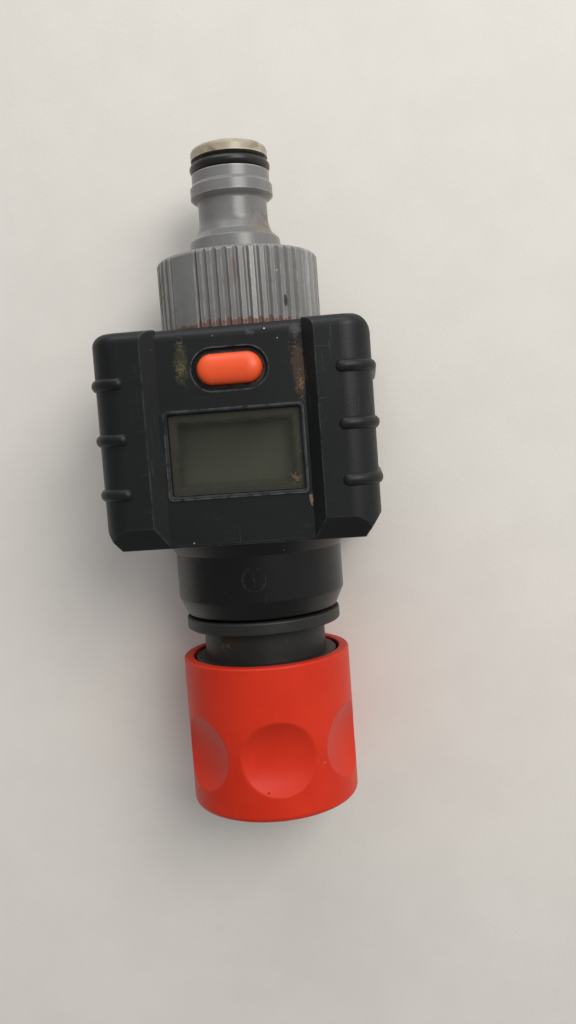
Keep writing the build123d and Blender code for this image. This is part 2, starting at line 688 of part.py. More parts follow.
def housing_front(form, cavity):
    shell = halves(form, True) - cavity
    for x, y in screw_places():
        shell += post(BOSS_R, x, y, (0, SCREW_REACH + 3)) & form
    for x in (-POST_X, POST_X):
        for y in POST_STATIONS:
            shell += post(POST_R, x, y, (BOARD_TOP + SNUG, CAVITY_Z + 0.5))
            shell += post(PIN_R, x, y, (BOARD_TOP - BOARD_THICKNESS - 0.4, BOARD_TOP + 1))
    wide, tall = DISPLAY_WIDTH, DISPLAY_HEIGHT
    lip = RectangleRounded(wide + 1.4, tall + 1.4, 1.0)
    ledge = RectangleRounded(wide + 4, tall + 4, 1.5)
    window = RectangleRounded(wide - 2 * LEDGE_WIDTH, tall - 2 * LEDGE_WIDTH, 0.6)
    shell += plate(lip, 0, DISPLAY_STATION, (PANEL_Z - 0.5, PANEL_Z + LIP))
    shell += plate(ledge, 0, DISPLAY_STATION, (LEDGE_Z - LEDGE_THICKNESS, CAVITY_Z + 0.5))
    opening = RectangleRounded(wide, tall, 0.6)
    shell -= plate(opening, 0, DISPLAY_STATION, (LEDGE_Z, BLOCK_Z))
    widening = extrude(opening, 2 * LIP_CHAMFER, taper=-45)
    shell -= Pos(0, DISPLAY_STATION, PANEL_Z + LIP - LIP_CHAMFER) * widening
    shell -= plate(window, 0, DISPLAY_STATION, (LEDGE_Z - LEDGE_THICKNESS - 1, BLOCK_Z))
    length, width = BUTTON_LENGTH + 2 * BUTTON_PLAY, BUTTON_WIDTH + 2 * BUTTON_PLAY
    skirt_in = 2 * BUTTON_FLANGE + 2 * BUTTON_PLAY
    skirt = stadium(length + skirt_in + 2 * BOOT_WALL, width + skirt_in + 2 * BOOT_WALL)
    skirt -= stadium(length + skirt_in, width + skirt_in)
    shell += plate(skirt, 0, BUTTON_STATION, (BOOT_TOP + SNUG, CAVITY_Z + 0.5))
    shell -= plate(stadium(length, width), 0, BUTTON_STATION, (CAVITY_Z - 1, BLOCK_Z))
    recess = stadium(length + 2 * BUTTON_SURROUND, width + 2 * BUTTON_SURROUND)
    shell -= plate(recess, 0, BUTTON_STATION, (PANEL_Z - BUTTON_RECESS, BLOCK_Z))
    for x, y in screw_places():
        shell -= post(SCREW_R + SNUG, x, y, (-1, SCREW_REACH + 0.5))
    return shell - bar(TUBE_R + ON_TUBE, HOUSING_BOTTOM - 1, HOUSING_TOP + 1) - seal_path(0.05)


def housing_back(form, cavity):
    shell = halves(form, False) - cavity
    for x, y in screw_places():
        shell += post(BOSS_R + 0.4, x, y, (BACK_Z + WALL - 0.5, 0)) & form
    cover_floor = BACK_Z + COVER_THICKNESS
    roof = CUP_ROOF_Z - CUP_ROOF
    shell += post(COVER_R + 2.4, 0, CELL_STATION, (BACK_Z + 0.5, cover_floor + WALL))
    shell += post(CUP_R + CUP_WALL, 0, CELL_STATION, (cover_floor, CUP_ROOF_Z))
    for x in (-COVER_SCREW_PLACE, COVER_SCREW_PLACE):
        shell += post(COVER_SCREW_R + 1.4, x, CELL_STATION, (cover_floor, CUP_ROOF_Z))
    shell -= post(CUP_R, 0, CELL_STATION, (BACK_Z - 1, roof))
    shell -= post(COVER_R + SEAT, 0, CELL_STATION, (BACK_Z - 1, cover_floor))
    seal_half = COVER_SEAL_WIDTH / 2 + SNUG
    groove = Circle(COVER_SEAL_R + seal_half) - Circle(COVER_SEAL_R - seal_half)
    shell -= plate(groove, 0, CELL_STATION, (cover_floor - 1, cover_floor + 0.8))
    for x in (-COVER_SCREW_PLACE, COVER_SCREW_PLACE):
        shell -= post(COVER_SCREW_R + SNUG, x, CELL_STATION, (BACK_Z, roof + 0.4))
    for side in (-1, 1):
        key = (2.1, 3.6) if side > 0 else (-3.6, -2.1)
        shell += block(key, (HOUSING_BOTTOM + WALL - 0.5, HOUSING_BOTTOM + 6), (cover_floor, -TUBE_R - 0.4))
    for x, y in screw_places():
        shell -= post(SCREW_R + 0.2, x, y, (BACK_Z, 1))
        shell -= post(SCREW_HEAD_R + 0.3, x, y, (BACK_Z - 1, SCREW_HEAD_Z))
    return shell - bar(TUBE_R + ON_TUBE, HOUSING_BOTTOM - 1, HOUSING_TOP + 1) - seal_path(0.05)


def cross_recess(size, depth):
    """A cross-shaped driver recess that opens towards -Z at height 0."""
    arm = Box(size, size / 4, depth, align=(Align.CENTER, Align.CENTER, Align.MIN))
    return arm + Rot(Z=90) * arm


def screw(shank_r, head_r, head_height, length):
    """A screw along +Z with the underside of its head at 0."""
    head = Pos(0, 0, -head_height) * extrude(Circle(head_r), head_height)
    head = chamfer(head.edges().filter_by(GeomType.CIRCLE).group_by(Axis.Z)[0], head_height / 3)
    shank = extrude(Circle(shank_r), length)
    return head + shank - Pos(0, 0, -head_height) * cross_recess(head_r * 1.3, head_height * 0.6)


def housing_screws():
    one = screw(SCREW_R, SCREW_HEAD_R, 2.0, SCREW_REACH - SCREW_HEAD_Z - SEAT)
    return Compound(children=[Pos(x, y, SCREW_HEAD_Z - SNUG) * one for x, y in screw_places()])


# ---- display ----
def display_lens():
    outline = RectangleRounded(DISPLAY_WIDTH - 2 * SEAT, DISPLAY_HEIGHT - 2 * SEAT, 0.5)
    return plate(outline, 0, DISPLAY_STATION, (LENS_Z - LENS_THICKNESS, LENS_Z))


def lens_gasket():
    outer = RectangleRounded(DISPLAY_WIDTH - 2 * SEAT, DISPLAY_HEIGHT - 2 * SEAT, 0.5)
    inner = RectangleRounded(DISPLAY_WIDTH - 2 * LEDGE_WIDTH, DISPLAY_HEIGHT - 2 * LEDGE_WIDTH, 0.6)
    return plate(outer - inner, 0, DISPLAY_STATION, (LEDGE_Z, LENS_Z - LENS_THICKNESS))


def lcd_panel():
    width, height = DISPLAY_WIDTH + 2 * LCD_MARGIN, DISPLAY_HEIGHT + 2 * LCD_MARGIN
    return plate(Rectangle(width, height), 0, DISPLAY_STATION, (LCD_TOP - LCD_THICKNESS, LCD_TOP))


def lcd_connectors():
    reach = DISPLAY_HEIGHT / 2 + LCD_MARGIN - 1.2
    heights = (BOARD_TOP, LCD_TOP - LCD_THICKNESS)
    strip = Rectangle(DISPLAY_WIDTH, 2.0)
    return Compound(children=[plate(strip, 0, DISPLAY_STATION + side * reach, heights) for side in (1, -1)])


def circuit_board():
    board = block((-BOARD_HALF_WIDTH, BOARD_HALF_WIDTH), BOARD_ENDS, (BOARD_TOP - BOARD_THICKNESS, BOARD_TOP))
    for x in (-POST_X, POST_X):
        for y in POST_STATIONS:
            board -= post(PIN_R + SEAT, x, y, (0, BOARD_TOP + 1))
    return board


def controller_chip():
    return block((-3.5, 3.5), (DISPLAY_STATION - 3.5, DISPLAY_STATION + 3.5), (BOARD_TOP, BOARD_TOP + 1.2))


def hall_sensor():
    top = BOARD_TOP - BOARD_THICKNESS
    middle = ROTOR_END - MAGNET_LENGTH / 2
    return block((-2, 2), (middle - 1.5, middle + 1.5), (top - 0.8, top))


# ---- button ----
def button():
    cap = plate(stadium(BUTTON_LENGTH, BUTTON_WIDTH), 0, BUTTON_STATION, (FLANGE_Z - 0.5, BUTTON_TOP))
    cap = fillet(cap.faces().sort_by(Axis.Z)[-1].edges(), 0.9)
    foot = stadium(BUTTON_LENGTH + 2 * BUTTON_FLANGE, BUTTON_WIDTH + 2 * BUTTON_FLANGE)
    return cap + plate(foot, 0, BUTTON_STATION, (FLANGE_Z - BUTTON_FLANGE_THICKNESS, FLANGE_Z))


def button_membrane():
    length, width = BUTTON_LENGTH + 2 * BUTTON_PLAY, BUTTON_WIDTH + 2 * BUTTON_PLAY
    grow = 2 * (BUTTON_FLANGE + BUTTON_PLAY + BOOT_WALL)
    outer = stadium(length + grow, width + grow)
    inner = stadium(length + grow - 2 * BOOT_WALL, width + grow - 2 * BOOT_WALL)
    boot = plate(outer, 0, BUTTON_STATION, (BOARD_TOP, BOOT_TOP))
    boot -= plate(inner, 0, BUTTON_STATION, (BOARD_TOP - 1, BOOT_TOP - 0.7))
    knob_top = FLANGE_Z - BUTTON_FLANGE_THICKNESS - SEAT / 2
    return boot + post(2.0, 0, BUTTON_STATION, (BOOT_TOP - 0.7, knob_top))


def button_switch():
    base = block((-3, 3), (BUTTON_STATION - 3, BUTTON_STATION + 3), (BOARD_TOP, BOARD_TOP + 1.2))
    return base + post(1.4, 0, BUTTON_STATION, (BOARD_TOP + 1, BOARD_TOP + 1.6))


# ---- battery ----
def battery():
    can = post(CELL_R, 0, CELL_STATION, (CELL_TOP - CELL_THICKNESS, CELL_TOP - 0.3))
    return can + post(CELL_R - 1.4, 0, CELL_STATION, (CELL_TOP - 0.5, CELL_TOP))


def battery_clip():
    top = CUP_ROOF_Z - CUP_ROOF - SNUG
    base = block((-3, 3), (CELL_STATION - 8, CELL_STATION + 8), (top - CLIP_THICKNESS, top))
    drop = top - CELL_TOP - CLIP_THICKNESS
    leaf = make_face(Polyline(
        (-5, 0), (-1, -drop + CLIP_THICKNESS), (1, -drop + CLIP_THICKNESS), (5, 0),
        (5, -CLIP_THICKNESS), (1, -drop), (-1, -drop), (-5, -CLIP_THICKNESS), close=True,
    ))
    bent = Pos(-1.2, CELL_STATION, top - 0.15) * Rot(X=90) * Rot(Y=90) * extrude(leaf, 2.4)
    return base + bent


def battery_cover():
    top = BACK_Z + COVER_THICKNESS - SNUG
    lid = post(COVER_R, 0, CELL_STATION, (BACK_Z, top))
    lid = chamfer(lid.edges().filter_by(GeomType.CIRCLE).group_by(Axis.Z)[0], 0.3)
    lid += post(CUP_R - 0.4, 0, CELL_STATION, (top - 0.5, CELL_TOP - CELL_THICKNESS - SEAT))
    for x in (-COVER_SCREW_PLACE, COVER_SCREW_PLACE):
        lid -= post(COVER_SCREW_R + 0.2, x, CELL_STATION, (BACK_Z - 1, top + 1))
        lid -= post(COVER_SCREW_R + 1.1, x, CELL_STATION, (BACK_Z - 1, BACK_Z + 1.1))
    return lid


def battery_cover_seal():
    ring = Circle(COVER_SEAL_R + COVER_SEAL_WIDTH / 2) - Circle(COVER_SEAL_R - COVER_SEAL_WIDTH / 2)
    floor = BACK_Z + COVER_THICKNESS
    return plate(ring, 0, CELL_STATION, (floor - SNUG, floor + 0.78))


def battery_cover_screws():
    one = screw(COVER_SCREW_R, COVER_SCREW_R + 0.9, 1.0, 5.5)
    places = (-COVER_SCREW_PLACE, COVER_SCREW_PLACE)
    return Compound(children=[Pos(x, CELL_STATION, BACK_Z + 1.1 - SNUG) * one for x in places])


# ---- outlet ----
def ribbed_outline():
    """The nut's toothed outline: steep on one side of each tooth, shallow on the other, and a plain patch."""
    points = []
    for tooth in range(RIB_COUNT):
        degrees = 360 * tooth / RIB_COUNT
        folded = degrees - 360 if degrees > 180 else degrees
        plain = PLAIN_PATCH[0] < folded < PLAIN_PATCH[1]
        low = NUT_R if plain else NUT_R - RIB_DEPTH
        for share, radius in ((0.0, low), (0.22, NUT_R), (0.62, NUT_R), (0.84, low)):
            angle = math.radians(degrees + 360 / RIB_COUNT * share)
            points.append((radius * math.sin(angle), radius * math.cos(angle)))
    return make_face(Polyline(*points, close=True))


def tap_connector():
    ribs = Pos(0, NUT_TOP, 0) * Rot(X=90) * extrude(ribbed_outline(), NUT_LENGTH)
    envelope = turned(
        (0, NUT_BOTTOM),
        (NUT_R + 0.1, NUT_BOTTOM),
        (NUT_R + 0.1, NUT_TOP),
        (0, NUT_TOP),
        rounds=[((NUT_R + 0.1, NUT_TOP), 1.4), ((NUT_R + 0.1, NUT_BOTTOM), 0.5)],
    )
    collar_low = NIPPLE_TIP - PLUG_TIP_TO_COLLAR - PLUG_COLLAR_LENGTH
    collar_high = NIPPLE_TIP - PLUG_TIP_TO_COLLAR
    groove_low, groove_high = NIPPLE_TIP - PLUG_GROOVE[1], NIPPLE_TIP - PLUG_GROOVE[0]
    flare_top = NUT_TOP + FLARE_LENGTH
    neck_low = flare_top + 3.6
    nipple = turned(
        (0, NUT_TOP - 1),
        (FLARE_R, NUT_TOP - 1),
        (FLARE_R, NUT_TOP),
        (FLARE_R - 0.5, flare_top),
        (PLUG_NECK_R + 0.7, flare_top + 1.5),
        (PLUG_NECK_R, neck_low),
        (PLUG_NECK_R, collar_low - 1.0),
        (PLUG_COLLAR_R - 0.5, collar_low - 0.4),
        (PLUG_COLLAR_R, collar_low),
        (PLUG_COLLAR_R, collar_high),
        (PLUG_BODY_R, collar_high + 0.7),
        (PLUG_BODY_R, groove_low),
        (PLUG_RING_R - 2.35, groove_low),
        (PLUG_RING_R - 2.35, groove_high),
        (PLUG_TIP_R, groove_high),
        (PLUG_TIP_R, NIPPLE_TIP),
        (0, NIPPLE_TIP),
        rounds=[
            ((FLARE_R - 0.5, flare_top), 0.5),
            ((PLUG_NECK_R + 0.7, flare_top + 1.5), 1.5),
            ((PLUG_NECK_R, neck_low), 4.0),
            ((PLUG_NECK_R, collar_low - 1.0), 0.6),
            ((PLUG_TIP_R, NIPPLE_TIP), 1.0),
        ],
    )
    ridge = Pos(0, THREAD_PITCH / 2, 0) * thread_ridge(NUT_BORE_R, THREAD_MINOR_R + THREAD_PLAY)
    ridge = ridge & tube(THREAD_MINOR_R, NUT_R - 1, NUT_BOTTOM + 1.2, TUBE_END - 1.2)
    body = (ribs & envelope) + nipple
    body -= bar(NUT_BORE_R, NUT_BOTTOM - 1, NUT_TOP - NUT_ROOF)
    body -= bar(PLUG_BORE_R, NUT_BOTTOM, NIPPLE_TIP + 1)
    return body + ridge


def nipple_oring():
    wire_r = 1.15
    return ring_seal(PLUG_RING_R - wire_r, wire_r, NIPPLE_TIP - PLUG_GROOVE[1] + wire_r + SEAT)


def tap_washer():
    top = NUT_TOP - NUT_ROOF - SNUG
    return tube(WASHER_BORE_R, NUT_BORE_R - 0.2, top - WASHER_THICKNESS, top)


def build():
    form, cavity = housing_form(), housing_cavity()
    catches = {f"catch_{number + 1}": one for number, one in enumerate(around(catch(), CATCH_COUNT))}
    plain = (
        catch_cage, sleeve, sleeve_spring, coupling_body, coupling_seal, flow_tube, inlet_guide, outlet_guide,
        inlet_bush, outlet_bush, turbine_rotor, turbine_shaft, rotor_magnets, housing_seal, housing_screws,
        display_lens, lens_gasket, lcd_panel, lcd_connectors, circuit_board, controller_chip, hall_sensor,
        button, button_membrane, button_switch, battery, battery_clip, battery_cover, battery_cover_seal,
        battery_cover_screws, tap_connector, nipple_oring, tap_washer,
    )
    nodes = {make.__name__: make() for make in plain}
    nodes["housing_front"] = housing_front(form, cavity)
    nodes["housing_back"] = housing_back(form, cavity)
    return {**nodes, **catches}


os.makedirs("parts", exist_ok=True)
for name, shape in build().items():
    export_step(shape, f"parts/{name}.step")
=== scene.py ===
"""Looks of an inline garden-hose water meter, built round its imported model.

The flow axis is Y, the display faces +Z and everything is in metres in the model's own frame.
Sizes in the classes below are in millimetres and are turned to metres where a mesh is made.
"""

import logging
import math
from contextlib import contextmanager
from dataclasses import dataclass, field
from enum import Enum
from typing import Callable, Iterator, Optional, Union

import bmesh
import bpy
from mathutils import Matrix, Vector


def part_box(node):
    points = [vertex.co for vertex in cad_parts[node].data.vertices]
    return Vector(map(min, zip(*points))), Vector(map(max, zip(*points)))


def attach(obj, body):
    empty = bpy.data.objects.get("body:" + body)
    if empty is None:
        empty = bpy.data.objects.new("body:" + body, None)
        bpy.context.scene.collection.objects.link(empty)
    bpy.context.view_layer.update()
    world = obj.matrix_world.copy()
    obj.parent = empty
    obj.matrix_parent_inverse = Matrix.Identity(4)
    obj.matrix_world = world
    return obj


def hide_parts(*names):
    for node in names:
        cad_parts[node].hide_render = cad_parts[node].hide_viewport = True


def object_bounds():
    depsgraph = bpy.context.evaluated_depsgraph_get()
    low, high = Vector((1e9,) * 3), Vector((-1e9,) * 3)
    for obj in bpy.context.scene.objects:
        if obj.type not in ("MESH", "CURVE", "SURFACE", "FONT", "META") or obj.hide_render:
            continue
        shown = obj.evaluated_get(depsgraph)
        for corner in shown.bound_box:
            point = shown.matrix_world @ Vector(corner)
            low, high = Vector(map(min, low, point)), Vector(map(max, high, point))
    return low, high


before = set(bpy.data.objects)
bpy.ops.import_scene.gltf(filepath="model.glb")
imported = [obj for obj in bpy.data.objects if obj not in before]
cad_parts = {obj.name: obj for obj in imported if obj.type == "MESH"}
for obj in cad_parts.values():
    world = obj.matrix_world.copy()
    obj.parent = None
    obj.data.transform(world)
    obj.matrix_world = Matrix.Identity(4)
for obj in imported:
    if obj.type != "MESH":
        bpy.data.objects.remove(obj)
CAD_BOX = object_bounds()

MM = 0.001

# How far each kind of wear stands up or cuts in, as a share of the grain's depth.
SCRATCH_LIFT = -1.5
FILM_LIFT = 0.3
GRIME_LIFT = 0.5
STAIN_AND_HIGHLIGHT_LIFT = 0.8
DUST_LIFT = 1.0
MUD_LIFT = TRACK_LIFT = 1.5
# How much dirt adds to the roughness.
DIRT_DULLS = 0.35
log = logging.getLogger("water_meter")

Shade = tuple[float, float, float]
Place = tuple[float, float, float]
Socket = bpy.types.NodeSocket
Value = Union[Socket, float, tuple]


def linear(shade: Shade) -> tuple[float, float, float, float]:
    """Turns a screen colour into the linear colour that a shader takes.

    Args:
        shade: Red, green and blue from 0 to 255.

    Returns:
        Linear red, green and blue from 0 to 1, and an alpha of 1.
    """
    parts = [part / 255 for part in shade]
    bent = [part / 12.92 if part <= 0.04045 else ((part + 0.055) / 1.055) ** 2.4 for part in parts]
    return (*bent, 1.0)


def metres(place: Place) -> Vector:
    """Gives a place or size in millimetres as a vector in metres."""
    return Vector(place) * MM


# ---- node trees ----
class Graph:
    """Adds nodes to one node tree and joins them."""

    def __init__(self, tree: bpy.types.NodeTree) -> None:
        """Keeps the tree that the nodes go into."""
        self.tree = tree

    def add(self, kind: str, inputs: Optional[dict] = None, **settings: object) -> bpy.types.Node:
        """Adds a node, sets it and feeds its inputs.

        Args:
            kind: The node's type name.
            inputs: What goes into each input, by the input's name or number.
            **settings: Properties of the node itself.

        Returns:
            The new node.
        """
        node = self.tree.nodes.new(kind)
        for name, setting in settings.items():
            setattr(node, name, setting)
        for name, value in (inputs or {}).items():
            self.feed(node.inputs[name], value)
        return node

    def feed(self, socket: Socket, value: Value) -> None:
        """Links a socket into an input, or sets the input's own value.

        Args:
            socket: The input.
            value: Another node's output, or a plain value.
        """
        if isinstance(value, bpy.types.NodeSocket):
            self.tree.links.new(value, socket)
        else:
            socket.default_value = value

    def math(self, operation: str, *values: Value, clamp: bool = False) -> Socket:
        """Adds a Math node.

        Args:
            operation: The node's operation.
            *values: Its inputs in order.
            clamp: Whether the result is kept between 0 and 1.

        Returns:
            The result.
        """
        inputs = dict(enumerate(values))
        return self.add("ShaderNodeMath", inputs, operation=operation, use_clamp=clamp).outputs[0]

    def product(self, *values: Value) -> Socket:
        """Multiplies values, in order.

        Args:
            *values: Two or more values.

        Returns:
            Their product.
        """
        result = values[0]
        for value in values[1:]:
            result = self.math("MULTIPLY", result, value)
        return result

    def vector(self, operation: str, *values: Value, output: int = 0) -> Socket:
        """Adds a Vector Math node.

        Args:
            operation: The node's operation.
            *values: Its inputs in order.
            output: 0 for the vector, 1 for the number, as of a length.

        Returns:
            The result.
        """
        inputs = dict(enumerate(values))
        return self.add("ShaderNodeVectorMath", inputs, operation=operation).outputs[output]

    def step(self, value: Value, low: Value, high: Value) -> Socket:
        """Rises smoothly from 0 at low to 1 at high; it falls instead where high is the smaller.

        Args:
            value: What is measured.
            low: Where the result is 0.
            high: Where the result is 1.

        Returns:
            The smoothed result.
        """
        inputs = {"Value": value, "From Min": low, "From Max": high}
        node = self.add("ShaderNodeMapRange", inputs, interpolation_type="SMOOTHSTEP")
        return node.outputs["Result"]

    def mix(self, share: Value, first: Value, second: Value) -> Socket:
        """Mixes two colours.

        Args:
            share: How much of the second shows, from 0 to 1.
            first: The colour at 0.
            second: The colour at 1.

        Returns:
            The mixed colour.
        """
        node = self.add("ShaderNodeMix", {0: share, 6: first, 7: second}, data_type="RGBA")
        return node.outputs[2]

    def noise(self, vector: Value, scale: Value, detail: float = 3.0, rough: float = 0.55) -> Socket:
        """Adds cloudy noise.

        Args:
            vector: Where it is read.
            scale: Features per metre.
            detail: How many finer layers it has.
            rough: How strong the finer layers are.

        Returns:
            A value around 0.5.
        """
        inputs = {"Vector": vector, "Scale": scale, "Detail": detail, "Roughness": rough}
        return self.add("ShaderNodeTexNoise", inputs).outputs[0]

    def split(self, vector: Value) -> tuple[Socket, Socket, Socket]:
        """Gives the X, Y and Z parts of a vector."""
        outputs = self.add("ShaderNodeSeparateXYZ", {0: vector}).outputs
        return outputs[0], outputs[1], outputs[2]


class Effect(Enum):
    """The surface effects that several finishes share, each a node group."""

    SKIN = "moulded skin"
    # Lightens convex edges: wear, and a painted edge highlight.
    EDGES = "rubbed edges"
    CREVICES = "dirt in crevices"
    # Patches are mostly dirt; a few pale ones on the housing are painted highlights.
    STAIN = "patch of dirt"
    SCRATCHES = "hairline scratches"
    SPECKS = "specks of dust"


@dataclass
class EffectBook:
    """Builds each shared effect once and places it in materials."""

    trees: dict = field(default_factory=dict)
    samples: int = 5

    def build(self) -> None:
        """Builds every effect's node group."""
        makers = {
            Effect.SKIN: self.skin,
            Effect.EDGES: self.edges,
            Effect.CREVICES: self.crevices,
            Effect.STAIN: self.stain_and_highlight,
            Effect.SCRATCHES: self.scratches,
            Effect.SPECKS: self.specks,
        }
        for effect, maker in makers.items():
            maker(effect)
            log.info("effect %s", effect.value)

    def place(self, graph: Graph, effect: Effect, output: str, **values: Value) -> Socket:
        """Places an effect in a material, or reads another output of a new copy.

        Args:
            graph: The material's graph.
            effect: Which effect.
            output: The output that is wanted.
            **values: The group's inputs, with underscores for spaces.

        Returns:
            That output.
        """
        node = graph.add("ShaderNodeGroup", node_tree=self.trees[effect])
        for name, value in values.items():
            graph.feed(node.inputs[name.replace("_", " ")], value)
        return node.outputs[output]

    def start(self, effect: Effect, inputs: dict, outputs: tuple) -> tuple[Graph, dict, dict]:
        """Starts a node group with its sockets.

        Args:
            effect: Which effect it is.
            inputs: The default of each input by name; a tuple makes a vector input.
            outputs: The names of the value outputs.

        Returns:
            The group's graph, its inputs by name and its outputs by name.
        """
        tree = bpy.data.node_groups.new(effect.value, "ShaderNodeTree")
        tree.interface.new_socket(name="Vector", in_out="INPUT", socket_type="NodeSocketVector")
        for name, default in inputs.items():
            kind = "NodeSocketVector" if isinstance(default, tuple) else "NodeSocketFloat"
            socket = tree.interface.new_socket(name=name, in_out="INPUT", socket_type=kind)
            socket.default_value = default
        for name in outputs:
            tree.interface.new_socket(name=name, in_out="OUTPUT", socket_type="NodeSocketFloat")
        graph = Graph(tree)
        entry, leave = graph.add("NodeGroupInput"), graph.add("NodeGroupOutput")
        self.trees[effect] = tree
        return graph, dict(entry.outputs.items()), dict(leave.inputs.items())

    def skin(self, effect: Effect) -> None:
        """A moulded face: the die's fine grain, its low waviness and a slow drift of tone."""
        graph, given, out = self.start(effect, {"Grain": 3000.0}, ("Height", "Tone"))
        fine = graph.noise(given["Vector"], given["Grain"], 2.0, 0.6)
        inputs = {"Vector": given["Vector"], "Scale": given["Grain"]}
        pits = graph.add("ShaderNodeTexVoronoi", inputs).outputs[0]
        wave = graph.noise(given["Vector"], 140.0, 2.0)
        rough = graph.math("ADD", graph.math("MULTIPLY", fine, 0.55), graph.math("MULTIPLY", pits, 0.25))
        graph.feed(out["Height"], graph.math("ADD", rough, graph.math("MULTIPLY", wave, 0.2)))
        slow = graph.noise(given["Vector"], 75.0, 5.0, 0.6)
        graph.feed(out["Tone"], graph.step(slow, 0.34, 0.66))

    def edges(self, effect: Effect) -> None:
        """Outer edges lightened where hands have worn them and as a painted highlight, broken up along their
        length.
        """
        graph, given, out = self.start(effect, {"Width": 0.5 * MM, "Amount": 0.5}, ("Mask",))
        inside = graph.add(
            "ShaderNodeAmbientOcclusion", {"Distance": given["Width"]}, inside=True, only_local=True,
            samples=self.samples,
        )
        worn_and_highlighted = graph.step(inside.outputs["AO"], 0.94, 0.62)
        broken = graph.step(graph.noise(given["Vector"], 420.0, 4.0, 0.65), 0.32, 0.6)
        graph.feed(out["Mask"], graph.product(worn_and_highlighted, broken, given["Amount"]))

    def crevices(self, effect: Effect) -> None:
        """Dirt that has settled in grooves and inner corners."""
        graph, given, out = self.start(effect, {"Reach": 1.5 * MM, "Amount": 0.5}, ("Mask",))
        outside = graph.add("ShaderNodeAmbientOcclusion", {"Distance": given["Reach"]}, samples=self.samples)
        hidden = graph.step(outside.outputs["AO"], 0.9, 0.35)
        patchy = graph.step(graph.noise(given["Vector"], 380.0, 5.0, 0.7), 0.36, 0.62)
        graph.feed(out["Mask"], graph.product(hidden, patchy, given["Amount"]))

    def stain_and_highlight(self, effect: Effect) -> None:
        """A patch round a centre, solid where it covers well and specked towards its edge."""
        inputs = {
            "Centre": (0.0, 0.0, 0.0), "Reach": (MM, MM, MM), "Cover": 0.5, "Break": 3.0, "Speck": 900.0,
            "Amount": 1.0,
        }
        graph, given, out = self.start(effect, inputs, ("Mask",))
        offset = graph.vector("SUBTRACT", given["Vector"], given["Centre"])
        away = graph.vector("DIVIDE", offset, given["Reach"])
        distance = graph.vector("LENGTH", away, output=1)
        speck = graph.math("SUBTRACT", graph.noise(given["Vector"], given["Speck"], 4.0, 0.7), 0.5)
        level = graph.math("SUBTRACT", given["Cover"], distance)
        level = graph.math("ADD", level, graph.math("MULTIPLY", speck, given["Break"]))
        inner = graph.step(distance, 1.6, 0.9)
        graph.feed(out["Mask"], graph.product(graph.step(level, 0.0, 0.35), inner, given["Amount"]))

    def scratches(self, effect: Effect) -> None:
        """Short fine scratches in two directions."""
        graph, given, out = self.start(effect, {"Amount": 0.3}, ("Mask",))
        lines = []
        for turn, stretch in ((0.5, (1.0, 0.045, 1.0)), (-0.9, (0.06, 1.0, 1.0))):
            inputs = {"Vector": given["Vector"], "Rotation": (0.0, 0.0, turn), "Scale": stretch}
            placed = graph.add("ShaderNodeMapping", inputs).outputs[0]
            lines.append(graph.step(graph.noise(placed, 2600.0, 2.0, 0.4), 0.685, 0.73))
        zones = graph.step(graph.noise(given["Vector"], 110.0, 3.0), 0.46, 0.62)
        both = graph.math("MAXIMUM", *lines)
        graph.feed(out["Mask"], graph.product(both, zones, given["Amount"]))

    def specks(self, effect: Effect) -> None:
        """Single grains of pale dust, far apart."""
        graph, given, out = self.start(effect, {"Spacing": 420.0, "Share": 0.12}, ("Mask",))
        inputs = {"Vector": given["Vector"], "Scale": given["Spacing"]}
        cells = graph.add("ShaderNodeTexVoronoi", inputs)
        dot = graph.step(cells.outputs["Distance"], 0.11, 0.05)
        chosen = graph.step(graph.split(cells.outputs["Color"])[0], given["Share"], 0.0)
        graph.feed(out["Mask"], graph.math("MULTIPLY", dot, graph.math("GREATER_THAN", chosen, 0.05)))


# ---- finishes ----
class Grain(Enum):
    """How fine a moulded face's grain is: features per metre, and depth in millimetres."""

    SPARKED = (2300.0, 0.030)
    SATIN = (3400.0, 0.012)
    POLISHED = (900.0, 0.004)
    CAST = (1300.0, 0.045)


@dataclass(frozen=True)
class StainAndHighlight:
    """One patch at a place on the object, sizes in millimetres: mostly dirt, and on the housing a few painted
    highlights.
    """

    centre: Place
    reach: Place
    shade: Shade
    cover: float = 0.3
    breaks: float = 4.0
    speck: float = 900.0
    amount: float = 0.8


@dataclass
class Coat:
    """What a finish has painted so far: its colour, its dirtiness and its height."""

    colour: Value
    dirty: Value
    height: Value


